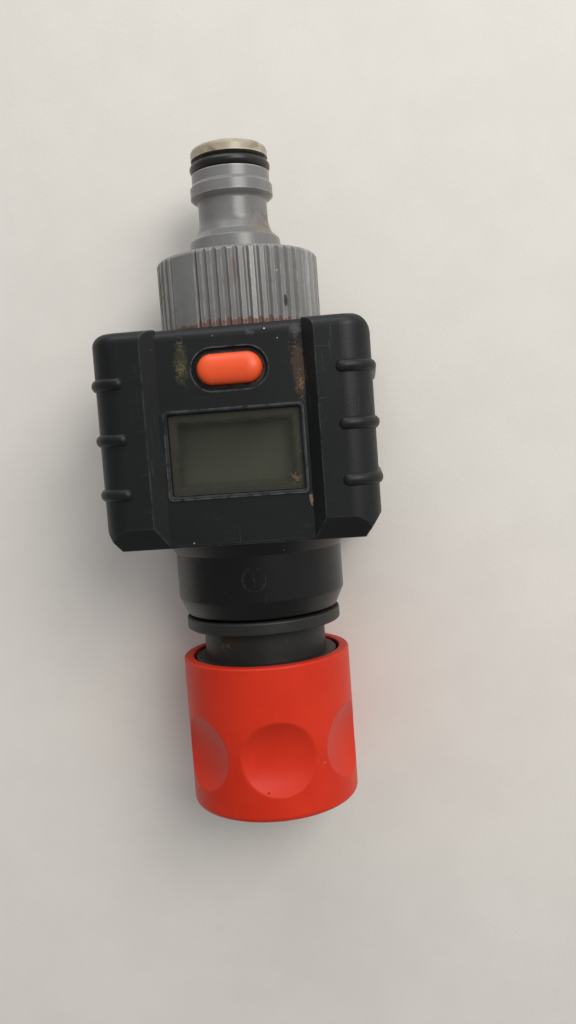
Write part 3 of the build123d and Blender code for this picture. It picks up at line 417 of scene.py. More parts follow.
@dataclass(frozen=True)
class Finish:
    """A moulded, rubber or metal surface with grain, wear and dirt."""

    name: str
    shade: Shade
    second: Shade
    roughness: float = 0.45
    drift: float = 0.12
    grain: Grain = Grain.SATIN
    # Edge lightening, both wear and a painted highlight along edges; its colour also tints scratches.
    worn_and_highlighted: float = 0.0
    worn_and_highlight_shade: Shade = (150.0, 150.0, 148.0)
    worn_and_highlight_width: float = 0.45
    grime: float = 0.0
    grime_shade: Shade = (84.0, 74.0, 58.0)
    scratched: float = 0.0
    dusted: float = 0.0
    dust_shade: Shade = (190.0, 184.0, 170.0)
    metallic: float = 0.0
    specular: float = 0.5
    # Dirt patches, and on the housing a few painted highlight patches.
    stains_and_highlights: tuple[StainAndHighlight, ...] = ()

    def make(self, effects: EffectBook) -> bpy.types.Material:
        """Builds the finish's material.

        Args:
            effects: The shared effects.

        Returns:
            The material.
        """
        material = bpy.data.materials.new(self.name)
        material.use_nodes = True
        material.node_tree.nodes.clear()
        graph = Graph(material.node_tree)
        place = graph.add("ShaderNodeTexCoord").outputs["Object"]
        coat = self.ground(graph, effects, place)
        coat = self.paint(graph, effects, place, coat)
        coat = self.age(graph, effects, place, coat)
        self.shade_surface(graph, coat)
        return material

    def ground(self, graph: Graph, effects: EffectBook, place: Socket) -> Coat:
        """Lays the base colour and the grain.

        Args:
            graph: The material's graph.
            effects: The shared effects.
            place: The object coordinates.

        Returns:
            The first coat.
        """
        scale, _ = self.grain.value
        height = effects.place(graph, Effect.SKIN, "Height", Vector=place, Grain=scale)
        tone = height.node.outputs["Tone"]
        return Coat(graph.mix(tone, linear(self.shade), linear(self.second)), 0.0, height)

    def paint(self, graph: Graph, effects: EffectBook, place: Socket, coat: Coat) -> Coat:
        """Adds what only this finish has; a plain finish adds nothing.

        Args:
            graph: The material's graph.
            effects: The shared effects.
            place: The object coordinates.
            coat: What is there so far.

        Returns:
            The coat with it.
        """
        return coat

    def soil_and_highlight(self, graph: Graph, coat: Coat, mask: Socket, shade: Shade, lift: float = 0.0) -> Coat:
        """Covers the coat with one colour where a mask says: mostly dirt, also painted highlight patches and
        darker rib valleys.

        Args:
            graph: The material's graph.
            coat: What is there so far.
            mask: Where the colour is laid.
            shade: The colour laid on.
            lift: How much it stands up, as a share of the grain's depth.

        Returns:
            The coat with it laid on.
        """
        colour = graph.mix(mask, coat.colour, linear(shade))
        dirty = graph.math("MAXIMUM", coat.dirty, mask)
        height = graph.math("MULTIPLY_ADD", mask, lift, coat.height) if lift else coat.height
        return Coat(colour, dirty, height)

    def age(self, graph: Graph, effects: EffectBook, place: Socket, coat: Coat) -> Coat:
        """Adds lightened edges (wear and painted highlight), grime, dirt patches with a few painted highlight
        patches, scratches and dust.

        Args:
            graph: The material's graph.
            effects: The shared effects.
            place: The object coordinates.
            coat: What is there so far.

        Returns:
            The aged coat.
        """
        # Lightened edges: wear, and a painted highlight along the edges.
        if self.worn_and_highlighted:
            width = self.worn_and_highlight_width * MM
            mask = effects.place(graph, Effect.EDGES, "Mask", Vector=place, Width=width, Amount=self.worn_and_highlighted)
            coat = Coat(graph.mix(mask, coat.colour, linear(self.worn_and_highlight_shade)), coat.dirty, coat.height)
        if self.scratched:
            mask = effects.place(graph, Effect.SCRATCHES, "Mask", Vector=place, Amount=self.scratched)
            colour = graph.mix(mask, coat.colour, linear(self.worn_and_highlight_shade))
            coat = Coat(colour, coat.dirty, graph.math("MULTIPLY_ADD", mask, SCRATCH_LIFT, coat.height))
        if self.grime:
            mask = effects.place(graph, Effect.CREVICES, "Mask", Vector=place, Amount=self.grime)
            coat = self.soil_and_highlight(graph, coat, mask, self.grime_shade, GRIME_LIFT)
        # Patches: dirt, and on the housing a few painted highlights.
        for stain_and_highlight in self.stains_and_highlights:
            mask = effects.place(
                graph, Effect.STAIN, "Mask", Vector=place, Centre=metres(stain_and_highlight.centre),
                Reach=metres(stain_and_highlight.reach), Cover=stain_and_highlight.cover, Break=stain_and_highlight.breaks, Speck=stain_and_highlight.speck,
                Amount=stain_and_highlight.amount,
            )
            coat = self.soil_and_highlight(graph, coat, mask, stain_and_highlight.shade, STAIN_AND_HIGHLIGHT_LIFT)
        if self.dusted:
            mask = effects.place(graph, Effect.SPECKS, "Mask", Vector=place, Share=self.dusted)
            coat = self.soil_and_highlight(graph, coat, mask, self.dust_shade, DUST_LIFT)
        return coat

    def gloss(self, graph: Graph, coat: Coat) -> Socket:
        """Works out the roughness: it drifts with the grain's waviness and rises with dirt.

        Args:
            graph: The material's graph.
            coat: The finished coat.

        Returns:
            The roughness.
        """
        drifting = graph.math("MULTIPLY_ADD", coat.height, self.drift, self.roughness - self.drift / 2)
        return graph.math("MULTIPLY_ADD", coat.dirty, DIRT_DULLS, drifting, clamp=True)

    def shade_surface(self, graph: Graph, coat: Coat) -> bpy.types.Node:
        """Puts the coat on a surface shader.

        Args:
            graph: The material's graph.
            coat: The finished coat.

        Returns:
            The surface shader's node.
        """
        _, depth = self.grain.value
        bump = graph.add("ShaderNodeBump", {"Strength": 1.0, "Distance": depth * MM, "Height": coat.height})
        shader = graph.add("ShaderNodeBsdfPrincipled", {
            "Base Color": coat.colour,
            "Roughness": self.gloss(graph, coat),
            "Metallic": self.metallic,
            "Specular IOR Level": self.specular,
            "Normal": bump.outputs[0],
        })
        output = graph.add("ShaderNodeOutputMaterial")
        graph.feed(output.inputs["Surface"], shader.outputs[0])
        return shader


@dataclass(frozen=True)
class NutFinish(Finish):
    """The grey tap connector: mud in its rib valleys at the foot and a bleached tip."""

    foot: float = 99.7
    valley_r: float = 16.4
    rib_r: float = 17.0
    tip_start: float = 136.2
    tip_shade: Shade = (168.0, 158.0, 135.0)
    tip_stain: Shade = (118.0, 96.0, 76.0)
    mud_shade: Shade = (102.0, 69.0, 55.0)
    mud_height: float = 1.0
    mud_in_valleys: float = 0.8
    mud_ragged: float = 1.8
    mud_reach: tuple[float, float] = (-10.5, 11.5)
    mud_fade: float = 3.5
    mud_cover: float = 0.92
    nut_end: float = 115.4
    valley_shade: Shade = (92.0, 88.0, 82.0)
    valley_darkening: float = 0.25

    def paint(self, graph: Graph, effects: EffectBook, place: Socket, coat: Coat) -> Coat:
        """Adds the tip's colour, the greyer valleys and the mud at the foot.

        Args:
            graph: The material's graph.
            effects: The shared effects.
            place: The object coordinates.
            coat: What is there so far.

        Returns:
            The coat with them.
        """
        x, y, z = graph.split(place)
        tip = graph.step(y, self.tip_start * MM, (self.tip_start + 0.15) * MM)
        mottled = graph.math("MULTIPLY", graph.step(graph.noise(place, 430.0, 5.0, 0.65), 0.46, 0.68), 0.7)
        cream = graph.mix(mottled, linear(self.tip_shade), linear(self.tip_stain))
        coat = Coat(graph.mix(tip, coat.colour, cream), coat.dirty, coat.height)
        # The nut's rib valleys are made darker grey, broken up by noise.
        square = graph.math("ADD", graph.math("MULTIPLY", x, x), graph.math("MULTIPLY", z, z))
        radius = graph.math("SQRT", square)
        valley = graph.step(radius, self.rib_r * MM, self.valley_r * MM)
        on_nut = graph.math("MULTIPLY", graph.math("LESS_THAN", y, self.nut_end * MM), valley)
        valley_noise = graph.noise(place, 260.0, 4.0, 0.6)
        grey = graph.math("MULTIPLY", on_nut, graph.step(valley_noise, 0.3, 0.75))
        coat = self.soil_and_highlight(graph, coat, graph.product(grey, self.valley_darkening), self.valley_shade)
        ragged = graph.noise(place, 700.0, 4.0, 0.65)
        rise = graph.math("MULTIPLY_ADD", valley, self.mud_in_valleys * MM, self.mud_height * MM)
        uneven = self.mud_ragged * MM
        rise = graph.math("ADD", rise, graph.math("MULTIPLY_ADD", ragged, uneven, -uneven / 2))
        above = graph.math("SUBTRACT", graph.math("SUBTRACT", y, self.foot * MM), rise)
        low = graph.step(above, 0.15 * MM, -0.15 * MM)
        leftmost, rightmost = self.mud_reach
        left = graph.step(x, (leftmost - self.mud_fade) * MM, leftmost * MM)
        right = graph.step(x, (rightmost + self.mud_fade) * MM, rightmost * MM)
        facing = graph.product(left, right, graph.step(z, -2.0 * MM, 3.0 * MM))
        mud = graph.product(low, facing, self.mud_cover)
        return self.soil_and_highlight(graph, coat, mud, self.mud_shade, MUD_LIFT)


@dataclass(frozen=True)
class LensFinish(Finish):
    """A clear cover with dirt gathered along its edges; the middle is see-through."""

    middle: Place = (0.0, 75.0, 21.0)
    half: Place = (12.9, 7.9, 1.0)
    clear: float = 0.16
    film_shade: Shade = (62.0, 61.0, 51.0)
    film_cover: float = 0.8
    film_ragged: float = 1.6
    film_width: tuple[float, float] = (-2.6, -0.9)

    def paint(self, graph: Graph, effects: EffectBook, place: Socket, coat: Coat) -> Coat:
        """Adds the film of dirt along the four edges.

        Args:
            graph: The material's graph.
            effects: The shared effects.
            place: The object coordinates.
            coat: What is there so far.

        Returns:
            The coat with it.
        """
        x, y, _ = graph.split(graph.vector("SUBTRACT", place, metres(self.middle)))
        reach_x = graph.math("SUBTRACT", graph.math("ABSOLUTE", x), self.half[0] * MM)
        reach_y = graph.math("SUBTRACT", graph.math("ABSOLUTE", y), self.half[1] * MM)
        inside = graph.math("MAXIMUM", reach_x, reach_y)
        uneven = self.film_ragged * MM
        ragged = graph.math("MULTIPLY_ADD", graph.noise(place, 650.0, 5.0, 0.72), uneven, -uneven / 2)
        inner, outer = self.film_width
        film = graph.step(graph.math("ADD", inside, ragged), inner * MM, outer * MM)
        return self.soil_and_highlight(graph, coat, graph.product(film, self.film_cover), self.film_shade, FILM_LIFT)

    def shade_surface(self, graph: Graph, coat: Coat) -> bpy.types.Node:
        """Puts the coat on a surface that is clear where it is clean.

        Args:
            graph: The material's graph.
            coat: The finished coat.

        Returns:
            The surface shader's node.
        """
        shader = super().shade_surface(graph, coat)
        alpha = graph.math("MULTIPLY_ADD", coat.dirty, 0.85 - self.clear, self.clear, clamp=True)
        graph.feed(shader.inputs["Alpha"], alpha)
        return shader


@dataclass(frozen=True)
class LcdFinish(Finish):
    """A blank liquid crystal display: a dark film with a printed frame round it."""

    middle: Place = (0.0, 75.0, 18.0)
    half: Place = (11.6, 6.7, 1.0)
    frame_shade: Shade = (54.0, 56.0, 48.0)

    def paint(self, graph: Graph, effects: EffectBook, place: Socket, coat: Coat) -> Coat:
        """Adds the printed frame and a painted sheen that lightens the film towards its lower right.

        Args:
            graph: The material's graph.
            effects: The shared effects.
            place: The object coordinates.
            coat: What is there so far.

        Returns:
            The coat with them.
        """
        x, y, _ = graph.split(graph.vector("SUBTRACT", place, metres(self.middle)))
        # Painted sheen: the film is mixed up to halfway towards a paler green towards its lower right.
        sheen_slant = graph.math("ADD", graph.math("MULTIPLY", x, 0.35), graph.math("MULTIPLY", y, -1.0))
        tone = graph.step(sheen_slant, -9.0 * MM, 9.0 * MM)
        colour = graph.mix(graph.math("MULTIPLY", tone, 0.5), coat.colour, linear((112.0, 116.0, 98.0)))
        reach_x = graph.math("SUBTRACT", graph.math("ABSOLUTE", x), self.half[0] * MM)
        reach_y = graph.math("SUBTRACT", graph.math("ABSOLUTE", y), self.half[1] * MM)
        outside = graph.step(graph.math("MAXIMUM", reach_x, reach_y), -0.05 * MM, 0.05 * MM)
        return Coat(graph.mix(outside, colour, linear(self.frame_shade)), coat.dirty, coat.height)


@dataclass(frozen=True)
class BoardFinish(Finish):
    """A circuit board: solder mask with raised tracks and tinned pads."""

    track_shade: Shade = (30.0, 104.0, 62.0)
    pad_shade: Shade = (196.0, 190.0, 170.0)

    def paint(self, graph: Graph, effects: EffectBook, place: Socket, coat: Coat) -> Coat:
        """Adds tracks that run square to each other, and pads.

        Args:
            graph: The material's graph.
            effects: The shared effects.
            place: The object coordinates.
            coat: What is there so far.

        Returns:
            The coat with them.
        """
        inputs = {"Vector": place, "Scale": 520.0, "Randomness": 0.75}
        cells = graph.add("ShaderNodeTexVoronoi", inputs, distance="CHEBYCHEV", feature="F1")
        track = graph.step(graph.math("PINGPONG", cells.outputs["Distance"], 0.11), 0.085, 0.1)
        pad = graph.step(cells.outputs["Distance"], 0.09, 0.07)
        colour = graph.mix(track, coat.colour, linear(self.track_shade))
        colour = graph.mix(pad, colour, linear(self.pad_shade))
        return Coat(colour, coat.dirty, graph.math("MULTIPLY_ADD", track, TRACK_LIFT, coat.height))


# ---- modelling by hand ----
class Bench:
    """Blender's own modelling operators, with the selection kept clean."""

    @staticmethod
    def start(name: str, operator: Callable, **settings: object) -> bpy.types.Object:
        """Adds a primitive with nothing else selected.

        Args:
            name: The new piece's name.
            operator: The primitive's operator.
            **settings: Its sizes and place, in metres.

        Returns:
            The new object.
        """
        bpy.ops.object.select_all(action="DESELECT")
        operator(**settings)
        piece = bpy.context.object
        piece.name = piece.data.name = name
        return piece

    @staticmethod
    def choose(piece: bpy.types.Object) -> None:
        """Selects one object alone and makes it active."""
        bpy.ops.object.select_all(action="DESELECT")
        piece.select_set(True)
        bpy.context.view_layer.objects.active = piece

    @classmethod
    @contextmanager
    def editing(cls, piece: bpy.types.Object, kind: str = "FACE") -> Iterator[None]:
        """Opens edit mode on one piece with nothing selected in it.

        Args:
            piece: The object.
            kind: VERT, EDGE or FACE.

        Yields:
            Nothing; the piece is open while the block runs.
        """
        cls.choose(piece)
        bpy.ops.object.mode_set(mode="EDIT")
        bpy.ops.mesh.select_mode(type=kind)
        bpy.ops.mesh.select_all(action="DESELECT")
        yield
        bpy.ops.object.mode_set(mode="OBJECT")

    @staticmethod
    def pick_faces(piece: bpy.types.Object, test: Callable[[Vector, Vector], bool]) -> None:
        """Selects the faces whose centre and normal pass a test.

        Args:
            piece: The object being edited.
            test: Takes a face's centre and normal.
        """
        mesh = bmesh.from_edit_mesh(piece.data)
        for face in mesh.faces:
            face.select_set(test(face.calc_center_median(), face.normal))
        bmesh.update_edit_mesh(piece.data)

    @staticmethod
    def pick_corners(piece: bpy.types.Object, test: Callable[[Vector], bool]) -> None:
        """Selects the vertices whose place passes a test, in the piece's own coordinates.

        Args:
            piece: The object being edited.
            test: Takes a vertex's place.
        """
        mesh = bmesh.from_edit_mesh(piece.data)
        for corner in mesh.verts:
            corner.select_set(test(corner.co))
        mesh.select_flush_mode()
        bmesh.update_edit_mesh(piece.data)

    @classmethod
    def modify(cls, piece: bpy.types.Object, kind: str, **settings: object) -> None:
        """Adds a modifier and applies it.

        Args:
            piece: The object.
            kind: The modifier's type.
            **settings: The modifier's properties.
        """
        cls.choose(piece)
        modifier = piece.modifiers.new(kind.title(), kind)
        for name, setting in settings.items():
            setattr(modifier, name, setting)
        bpy.ops.object.modifier_apply(modifier=modifier.name)

    @classmethod
    def join(cls, pieces: list[bpy.types.Object]) -> bpy.types.Object:
        """Joins pieces into the first of them.

        Args:
            pieces: The objects.

        Returns:
            The joined object.
        """
        cls.choose(pieces[0])
        for piece in pieces:
            piece.select_set(True)
        bpy.ops.object.join()
        return bpy.context.object

    @classmethod
    def settle(cls, piece: bpy.types.Object, smooth: float = 35.0) -> bpy.types.Object:
        """Puts a finished piece's place into its mesh, turns its faces outwards and smooths it.

        Args:
            piece: The object.
            smooth: The angle in degrees under which edges look smooth.

        Returns:
            The same object.
        """
        cls.choose(piece)
        bpy.ops.object.transform_apply(location=True, rotation=True, scale=True)
        with cls.editing(piece):
            bpy.ops.mesh.select_all(action="SELECT")
            bpy.ops.mesh.remove_doubles(threshold=0.002 * MM)
            bpy.ops.mesh.normals_make_consistent(inside=False)
        cls.choose(piece)
        bpy.ops.object.shade_smooth_by_angle(angle=math.radians(smooth))
        return piece


@dataclass
class Workshop:
    """Holds what every sub-assembly needs: the effects and the materials made so far."""

    effects: EffectBook = field(default_factory=EffectBook)
    materials: dict = field(default_factory=dict)

    def material(self, finish: Finish) -> bpy.types.Material:
        """Makes a finish's material once.

        Args:
            finish: The finish.

        Returns:
            Its material.
        """
        if finish.name not in self.materials:
            self.materials[finish.name] = finish.make(self.effects)
        return self.materials[finish.name]

    def dress(self, finish: Finish, *nodes: str) -> None:
        """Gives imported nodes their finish.

        Args:
            finish: The finish.
            *nodes: The nodes' names.
        """
        material = self.material(finish)
        for name in nodes:
            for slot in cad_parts[name].material_slots:
                slot.material = material
            log.info("dressed %s in %s", name, finish.name)

    def fit(self, piece: bpy.types.Object, finish: Finish, body: str, slot: str, *stands_for: str) -> None:
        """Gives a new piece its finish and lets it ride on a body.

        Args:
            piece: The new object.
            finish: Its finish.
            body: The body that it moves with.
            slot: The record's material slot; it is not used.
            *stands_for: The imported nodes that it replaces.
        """
        piece.data.materials.clear()
        piece.data.materials.append(self.material(finish))
        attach(piece, body)
        if stands_for:
            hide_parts(*stands_for)
        log.info("made %s with %d faces", piece.name, len(piece.data.polygons))


# ---- sub-assemblies ----
@dataclass
class HousingShells:
    """The front and back shells with their seal and screws."""

    soil_shade: Shade = (104.0, 98.0, 66.0)
    tan_shade: Shade = (150.0, 118.0, 84.0)
    panel_z: float = 22.8

    def stains_and_highlights(self) -> tuple[StainAndHighlight, ...]:
        """Gives the dirt left and right of the button and the painted highlights along the top edge."""
        z = self.panel_z
        return (
            StainAndHighlight(
                centre=(-9.2, 95.8, z), reach=(1.5, 3.2, 3.0), shade=self.soil_shade, cover=0.25,
                breaks=4.2, speck=2400.0, amount=0.6,
            ),
            StainAndHighlight(
                centre=(-9.4, 91.8, z), reach=(1.8, 3.4, 3.0), shade=self.soil_shade, cover=0.4, breaks=4.0,
                speck=2600.0, amount=0.65,
            ),
            StainAndHighlight(
                centre=(-9.2, 92.4, z), reach=(2.2, 6.0, 3.0), shade=self.soil_shade, cover=0.8, breaks=1.4,
                speck=700.0, amount=0.14,
            ),
            StainAndHighlight(
                centre=(12.6, 93.6, z), reach=(2.4, 4.6, 3.0), shade=self.tan_shade, cover=0.05, breaks=4.4,
                speck=2600.0, amount=0.55,
            ),
            StainAndHighlight(
                centre=(13.5, 87.2, z), reach=(1.3, 4.4, 3.0), shade=self.tan_shade, cover=0.3, breaks=4.2,
                speck=2400.0, amount=0.6,
            ),
            StainAndHighlight(
                centre=(13.2, 89.6, z), reach=(2.0, 7.0, 3.0), shade=self.tan_shade, cover=0.8, breaks=1.4,
                speck=700.0, amount=0.12,
            ),
            StainAndHighlight(
                centre=(13.9, 65.0, 23.2), reach=(0.55, 1.9, 3.0), shade=(150.0, 122.0, 96.0), cover=0.75,
                breaks=1.4, speck=1300.0, amount=0.6,
            ),
            # The four pale grey patches below are painted highlights along the shell's top edge.
            StainAndHighlight(
                centre=(4.2, 97.6, z), reach=(2.2, 2.2, 4.0), shade=(110.0, 114.0, 114.0), cover=0.35,
                breaks=1.4, speck=500.0, amount=0.22,
            ),
            StainAndHighlight(
                centre=(13.0, 97.2, z), reach=(2.4, 3.2, 4.0), shade=(120.0, 124.0, 122.0), cover=0.45,
                breaks=1.4, speck=500.0, amount=0.28,
            ),
            StainAndHighlight(
                centre=(-2.8, 97.4, z), reach=(0.5, 0.5, 2.0), shade=(150.0, 150.0, 145.0), cover=0.2,
                breaks=3.0, speck=2000.0, amount=0.7,
            ),
            StainAndHighlight(
                centre=(-14.6, 95.6, 23.4), reach=(0.6, 0.6, 2.0), shade=(140.0, 138.0, 132.0), cover=0.2,
                breaks=3.0, speck=2000.0, amount=0.6,
            ),
        )

    def build(self, shop: Workshop) -> None:
        """Dresses the shells, their seal and their screws.

        Args:
            shop: The workshop.
        """
        # The pale edge colour paints highlight lines along the shell's edges as well as wear.
        shell = Finish(
            "anthracite_satin", shade=(17.0, 19.0, 20.0), second=(21.0, 23.0, 24.0), roughness=0.44,
            drift=0.16, grain=Grain.SPARKED, worn_and_highlighted=0.75, worn_and_highlight_shade=(98.0, 104.0, 107.0),
            worn_and_highlight_width=0.4, grime=0.35, grime_shade=(70.0, 66.0, 50.0), scratched=0.14, dusted=0.025,
            specular=0.32, stains_and_highlights=self.stains_and_highlights(),
        )
        shop.dress(shell, "housing_front", "housing_back")
        rubber = Finish(
            "seal_rubber", shade=(20.0, 20.0, 20.0), second=(28.0, 28.0, 27.0), roughness=0.6, drift=0.1,
            grain=Grain.POLISHED, grime=0.4,
        )
        shop.dress(rubber, "housing_seal", "battery_cover_seal", "coupling_seal", "lens_gasket")
        steel = Finish(
            "bright_screw_steel", shade=(176.0, 174.0, 168.0), second=(150.0, 148.0, 144.0), roughness=0.3,
            drift=0.2, grain=Grain.CAST, worn_and_highlighted=0.3, worn_and_highlight_shade=(214.0, 212.0, 206.0), worn_and_highlight_width=0.2,
            grime=0.5, grime_shade=(70.0, 52.0, 38.0), scratched=0.4, metallic=1.0,
        )
        shop.dress(
            steel, "housing_screws", "battery_cover_screws", "turbine_shaft", "sleeve_spring", "battery_clip",
        )
        cover = Finish(
            "battery_cover_black", shade=(26.0, 28.0, 29.0), second=(33.0, 35.0, 36.0), roughness=0.5,
            drift=0.14, grain=Grain.SPARKED, worn_and_highlighted=0.5, worn_and_highlight_shade=(78.0, 80.0, 80.0), worn_and_highlight_width=0.4,
            grime=0.5, grime_shade=(84.0, 76.0, 60.0), scratched=0.25, dusted=0.05,
        )
        shop.dress(cover, "battery_cover")


@dataclass
class DisplayWindow:
    """The clear cover, its gasket and the display module under it."""

    glass_rim: float = 0.9
    film_step: float = 0.12
    glass_bevel: float = 0.18
    film_rim: float = 0.1

    def module(self) -> bpy.types.Object:
        """Models the display module: a bevelled glass slab with a film raised on its face.

        Returns:
            The finished piece.
        """
        low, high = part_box("lcd_panel")
        size = high - low
        middle = (low + high) / 2
        height = size.z - self.film_step * MM
        place = (middle.x, middle.y, low.z + height / 2)
        piece = Bench.start("display_module", bpy.ops.mesh.primitive_cube_add, size=1.0, location=place)
        piece.scale = (size.x, size.y, height)
        bpy.ops.object.transform_apply(location=False, rotation=False, scale=True)
        Bench.modify(piece, "BEVEL", width=self.glass_bevel * MM, segments=3, limit_method="ANGLE")
        with Bench.editing(piece):
            Bench.pick_faces(piece, lambda centre, normal: normal.z > 0.99)
            bpy.ops.mesh.inset(thickness=self.glass_rim * MM, depth=0.0)
            bpy.ops.mesh.extrude_region_move(TRANSFORM_OT_translate={"value": (0, 0, self.film_step * MM)})
            bpy.ops.mesh.inset(thickness=self.film_rim * MM, depth=0.0)
        return Bench.settle(piece)

    def build(self, shop: Workshop) -> None:
        """Makes the module and dresses the cover.

        Args:
            shop: The workshop.
        """
        low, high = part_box("display_lens")
        middle = tuple((low + high) / 2 / MM)
        half = tuple((high - low) / 2 / MM)
        film = LcdFinish(
            "display_film", shade=(66.0, 69.0, 57.0), second=(72.0, 75.0, 62.0), roughness=0.22, drift=0.06,
            grain=Grain.POLISHED, middle=middle, half=(half[0] - 1.25, half[1] - 1.2, 1.0),
        )
        shop.fit(self.module(), film, "meter", "lcd_glass", "lcd_panel")
        cover = LensFinish(
            "display_cover", shade=(44.0, 46.0, 40.0), second=(58.0, 60.0, 52.0), roughness=0.1, drift=0.1,
            grain=Grain.POLISHED, scratched=0.12, middle=middle, half=half,
            stains_and_highlights=(
                StainAndHighlight(
                    centre=(11.2, 69.2, 22.0), reach=(2.6, 2.0, 3.0), shade=(120.0, 98.0, 62.0), cover=0.3,
                    breaks=4.0, speck=1300.0, amount=0.8,
                ),
                StainAndHighlight(
                    centre=(12.2, 76.0, 22.0), reach=(0.9, 6.5, 3.0), shade=(112.0, 88.0, 54.0), cover=0.2,
                    breaks=4.0, speck=1300.0, amount=0.75,
                ),
                StainAndHighlight(
                    centre=(-9.6, 69.4, 22.0), reach=(3.0, 1.8, 3.0), shade=(96.0, 86.0, 62.0), cover=0.1,
                    breaks=4.0, speck=1300.0, amount=0.6,
                ),
            ),
        )
        shop.dress(cover, "display_lens")


@dataclass
class PressButton:
    """The orange button with its crowned cap and, under it, the boot and the switch."""

    corner_count: int = 72
    crown: float = 1.9
    crown_steps: int = 9
    crown_power: float = 2.3
    crown_share: float = 0.97
    flange: float = 0.8
    flange_height: float = 1.0

    def cap(self) -> bpy.types.Object:
        """Models the cap: a round-ended foot, a straight wall and a crowned top.

        Returns:
            The finished piece.
        """
        low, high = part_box("button")
        foot_width, foot_length = high.y - low.y, high.x - low.x
        middle = (low + high) / 2
        piece = Bench.start(
            "button_cap", bpy.ops.mesh.primitive_circle_add, vertices=self.corner_count,
            radius=foot_width / 2, fill_type="NGON", location=(middle.x, middle.y, low.z),
        )
        spread = (foot_length - foot_width) / 2
        for side in (1, -1):
            with Bench.editing(piece, "VERT"):
                Bench.pick_corners(piece, lambda co: co.x * side > 1e-6)
                bpy.ops.transform.translate(value=(side * spread, 0, 0))
        half = foot_width / 2 - self.flange * MM
        crown = self.crown * MM
        wall = high.z - low.z - self.flange_height * MM - crown
        foot = self.flange_height * MM
        with Bench.editing(piece):
            bpy.ops.mesh.select_all(action="SELECT")
            bpy.ops.mesh.extrude_region_move(TRANSFORM_OT_translate={"value": (0, 0, foot)})
            bpy.ops.mesh.inset(thickness=self.flange * MM, depth=0.0)
            bpy.ops.mesh.extrude_region_move(TRANSFORM_OT_translate={"value": (0, 0, wall)})
            done_in, done_up = 0.0, 0.0
            for step in range(1, self.crown_steps + 1):
                angle = step / self.crown_steps * math.pi / 2 * self.crown_share
                power = 2 / self.crown_power
                inwards = half * (1 - math.cos(angle) ** power)
                upwards = crown * math.sin(angle) ** power
                bpy.ops.mesh.inset(thickness=inwards - done_in, depth=0.0)
                bpy.ops.transform.translate(value=(0, 0, upwards - done_up))
                done_in, done_up = inwards, upwards
        return Bench.settle(piece, 50.0)

    def build(self, shop: Workshop) -> None:
        """Makes the cap and dresses the boot and the switch.

        Args:
            shop: The workshop.
        """
        orange = Finish(
            "button_orange", shade=(238.0, 84.0, 38.0), second=(242.0, 90.0, 43.0), roughness=0.4,
            drift=0.1, grain=Grain.SATIN, scratched=0.1, worn_and_highlight_shade=(255.0, 160.0, 110.0), grime=0.3,
            grime_shade=(120.0, 60.0, 34.0), dusted=0.02,
        )
        shop.fit(self.cap(), orange, "button", "orange_plastic", "button")
        boot = Finish(
            "boot_rubber", shade=(24.0, 24.0, 25.0), second=(32.0, 32.0, 32.0), roughness=0.62, drift=0.1,
            grain=Grain.SATIN, grime=0.3,
        )
        shop.dress(boot, "button_membrane")
        switch = Finish(
            "switch_black", shade=(22.0, 23.0, 25.0), second=(34.0, 35.0, 37.0), roughness=0.34, drift=0.1,
            grain=Grain.SATIN, worn_and_highlighted=0.4, worn_and_highlight_shade=(120.0, 120.0, 120.0),
        )
        shop.dress(switch, "button_switch", "controller_chip", "hall_sensor")


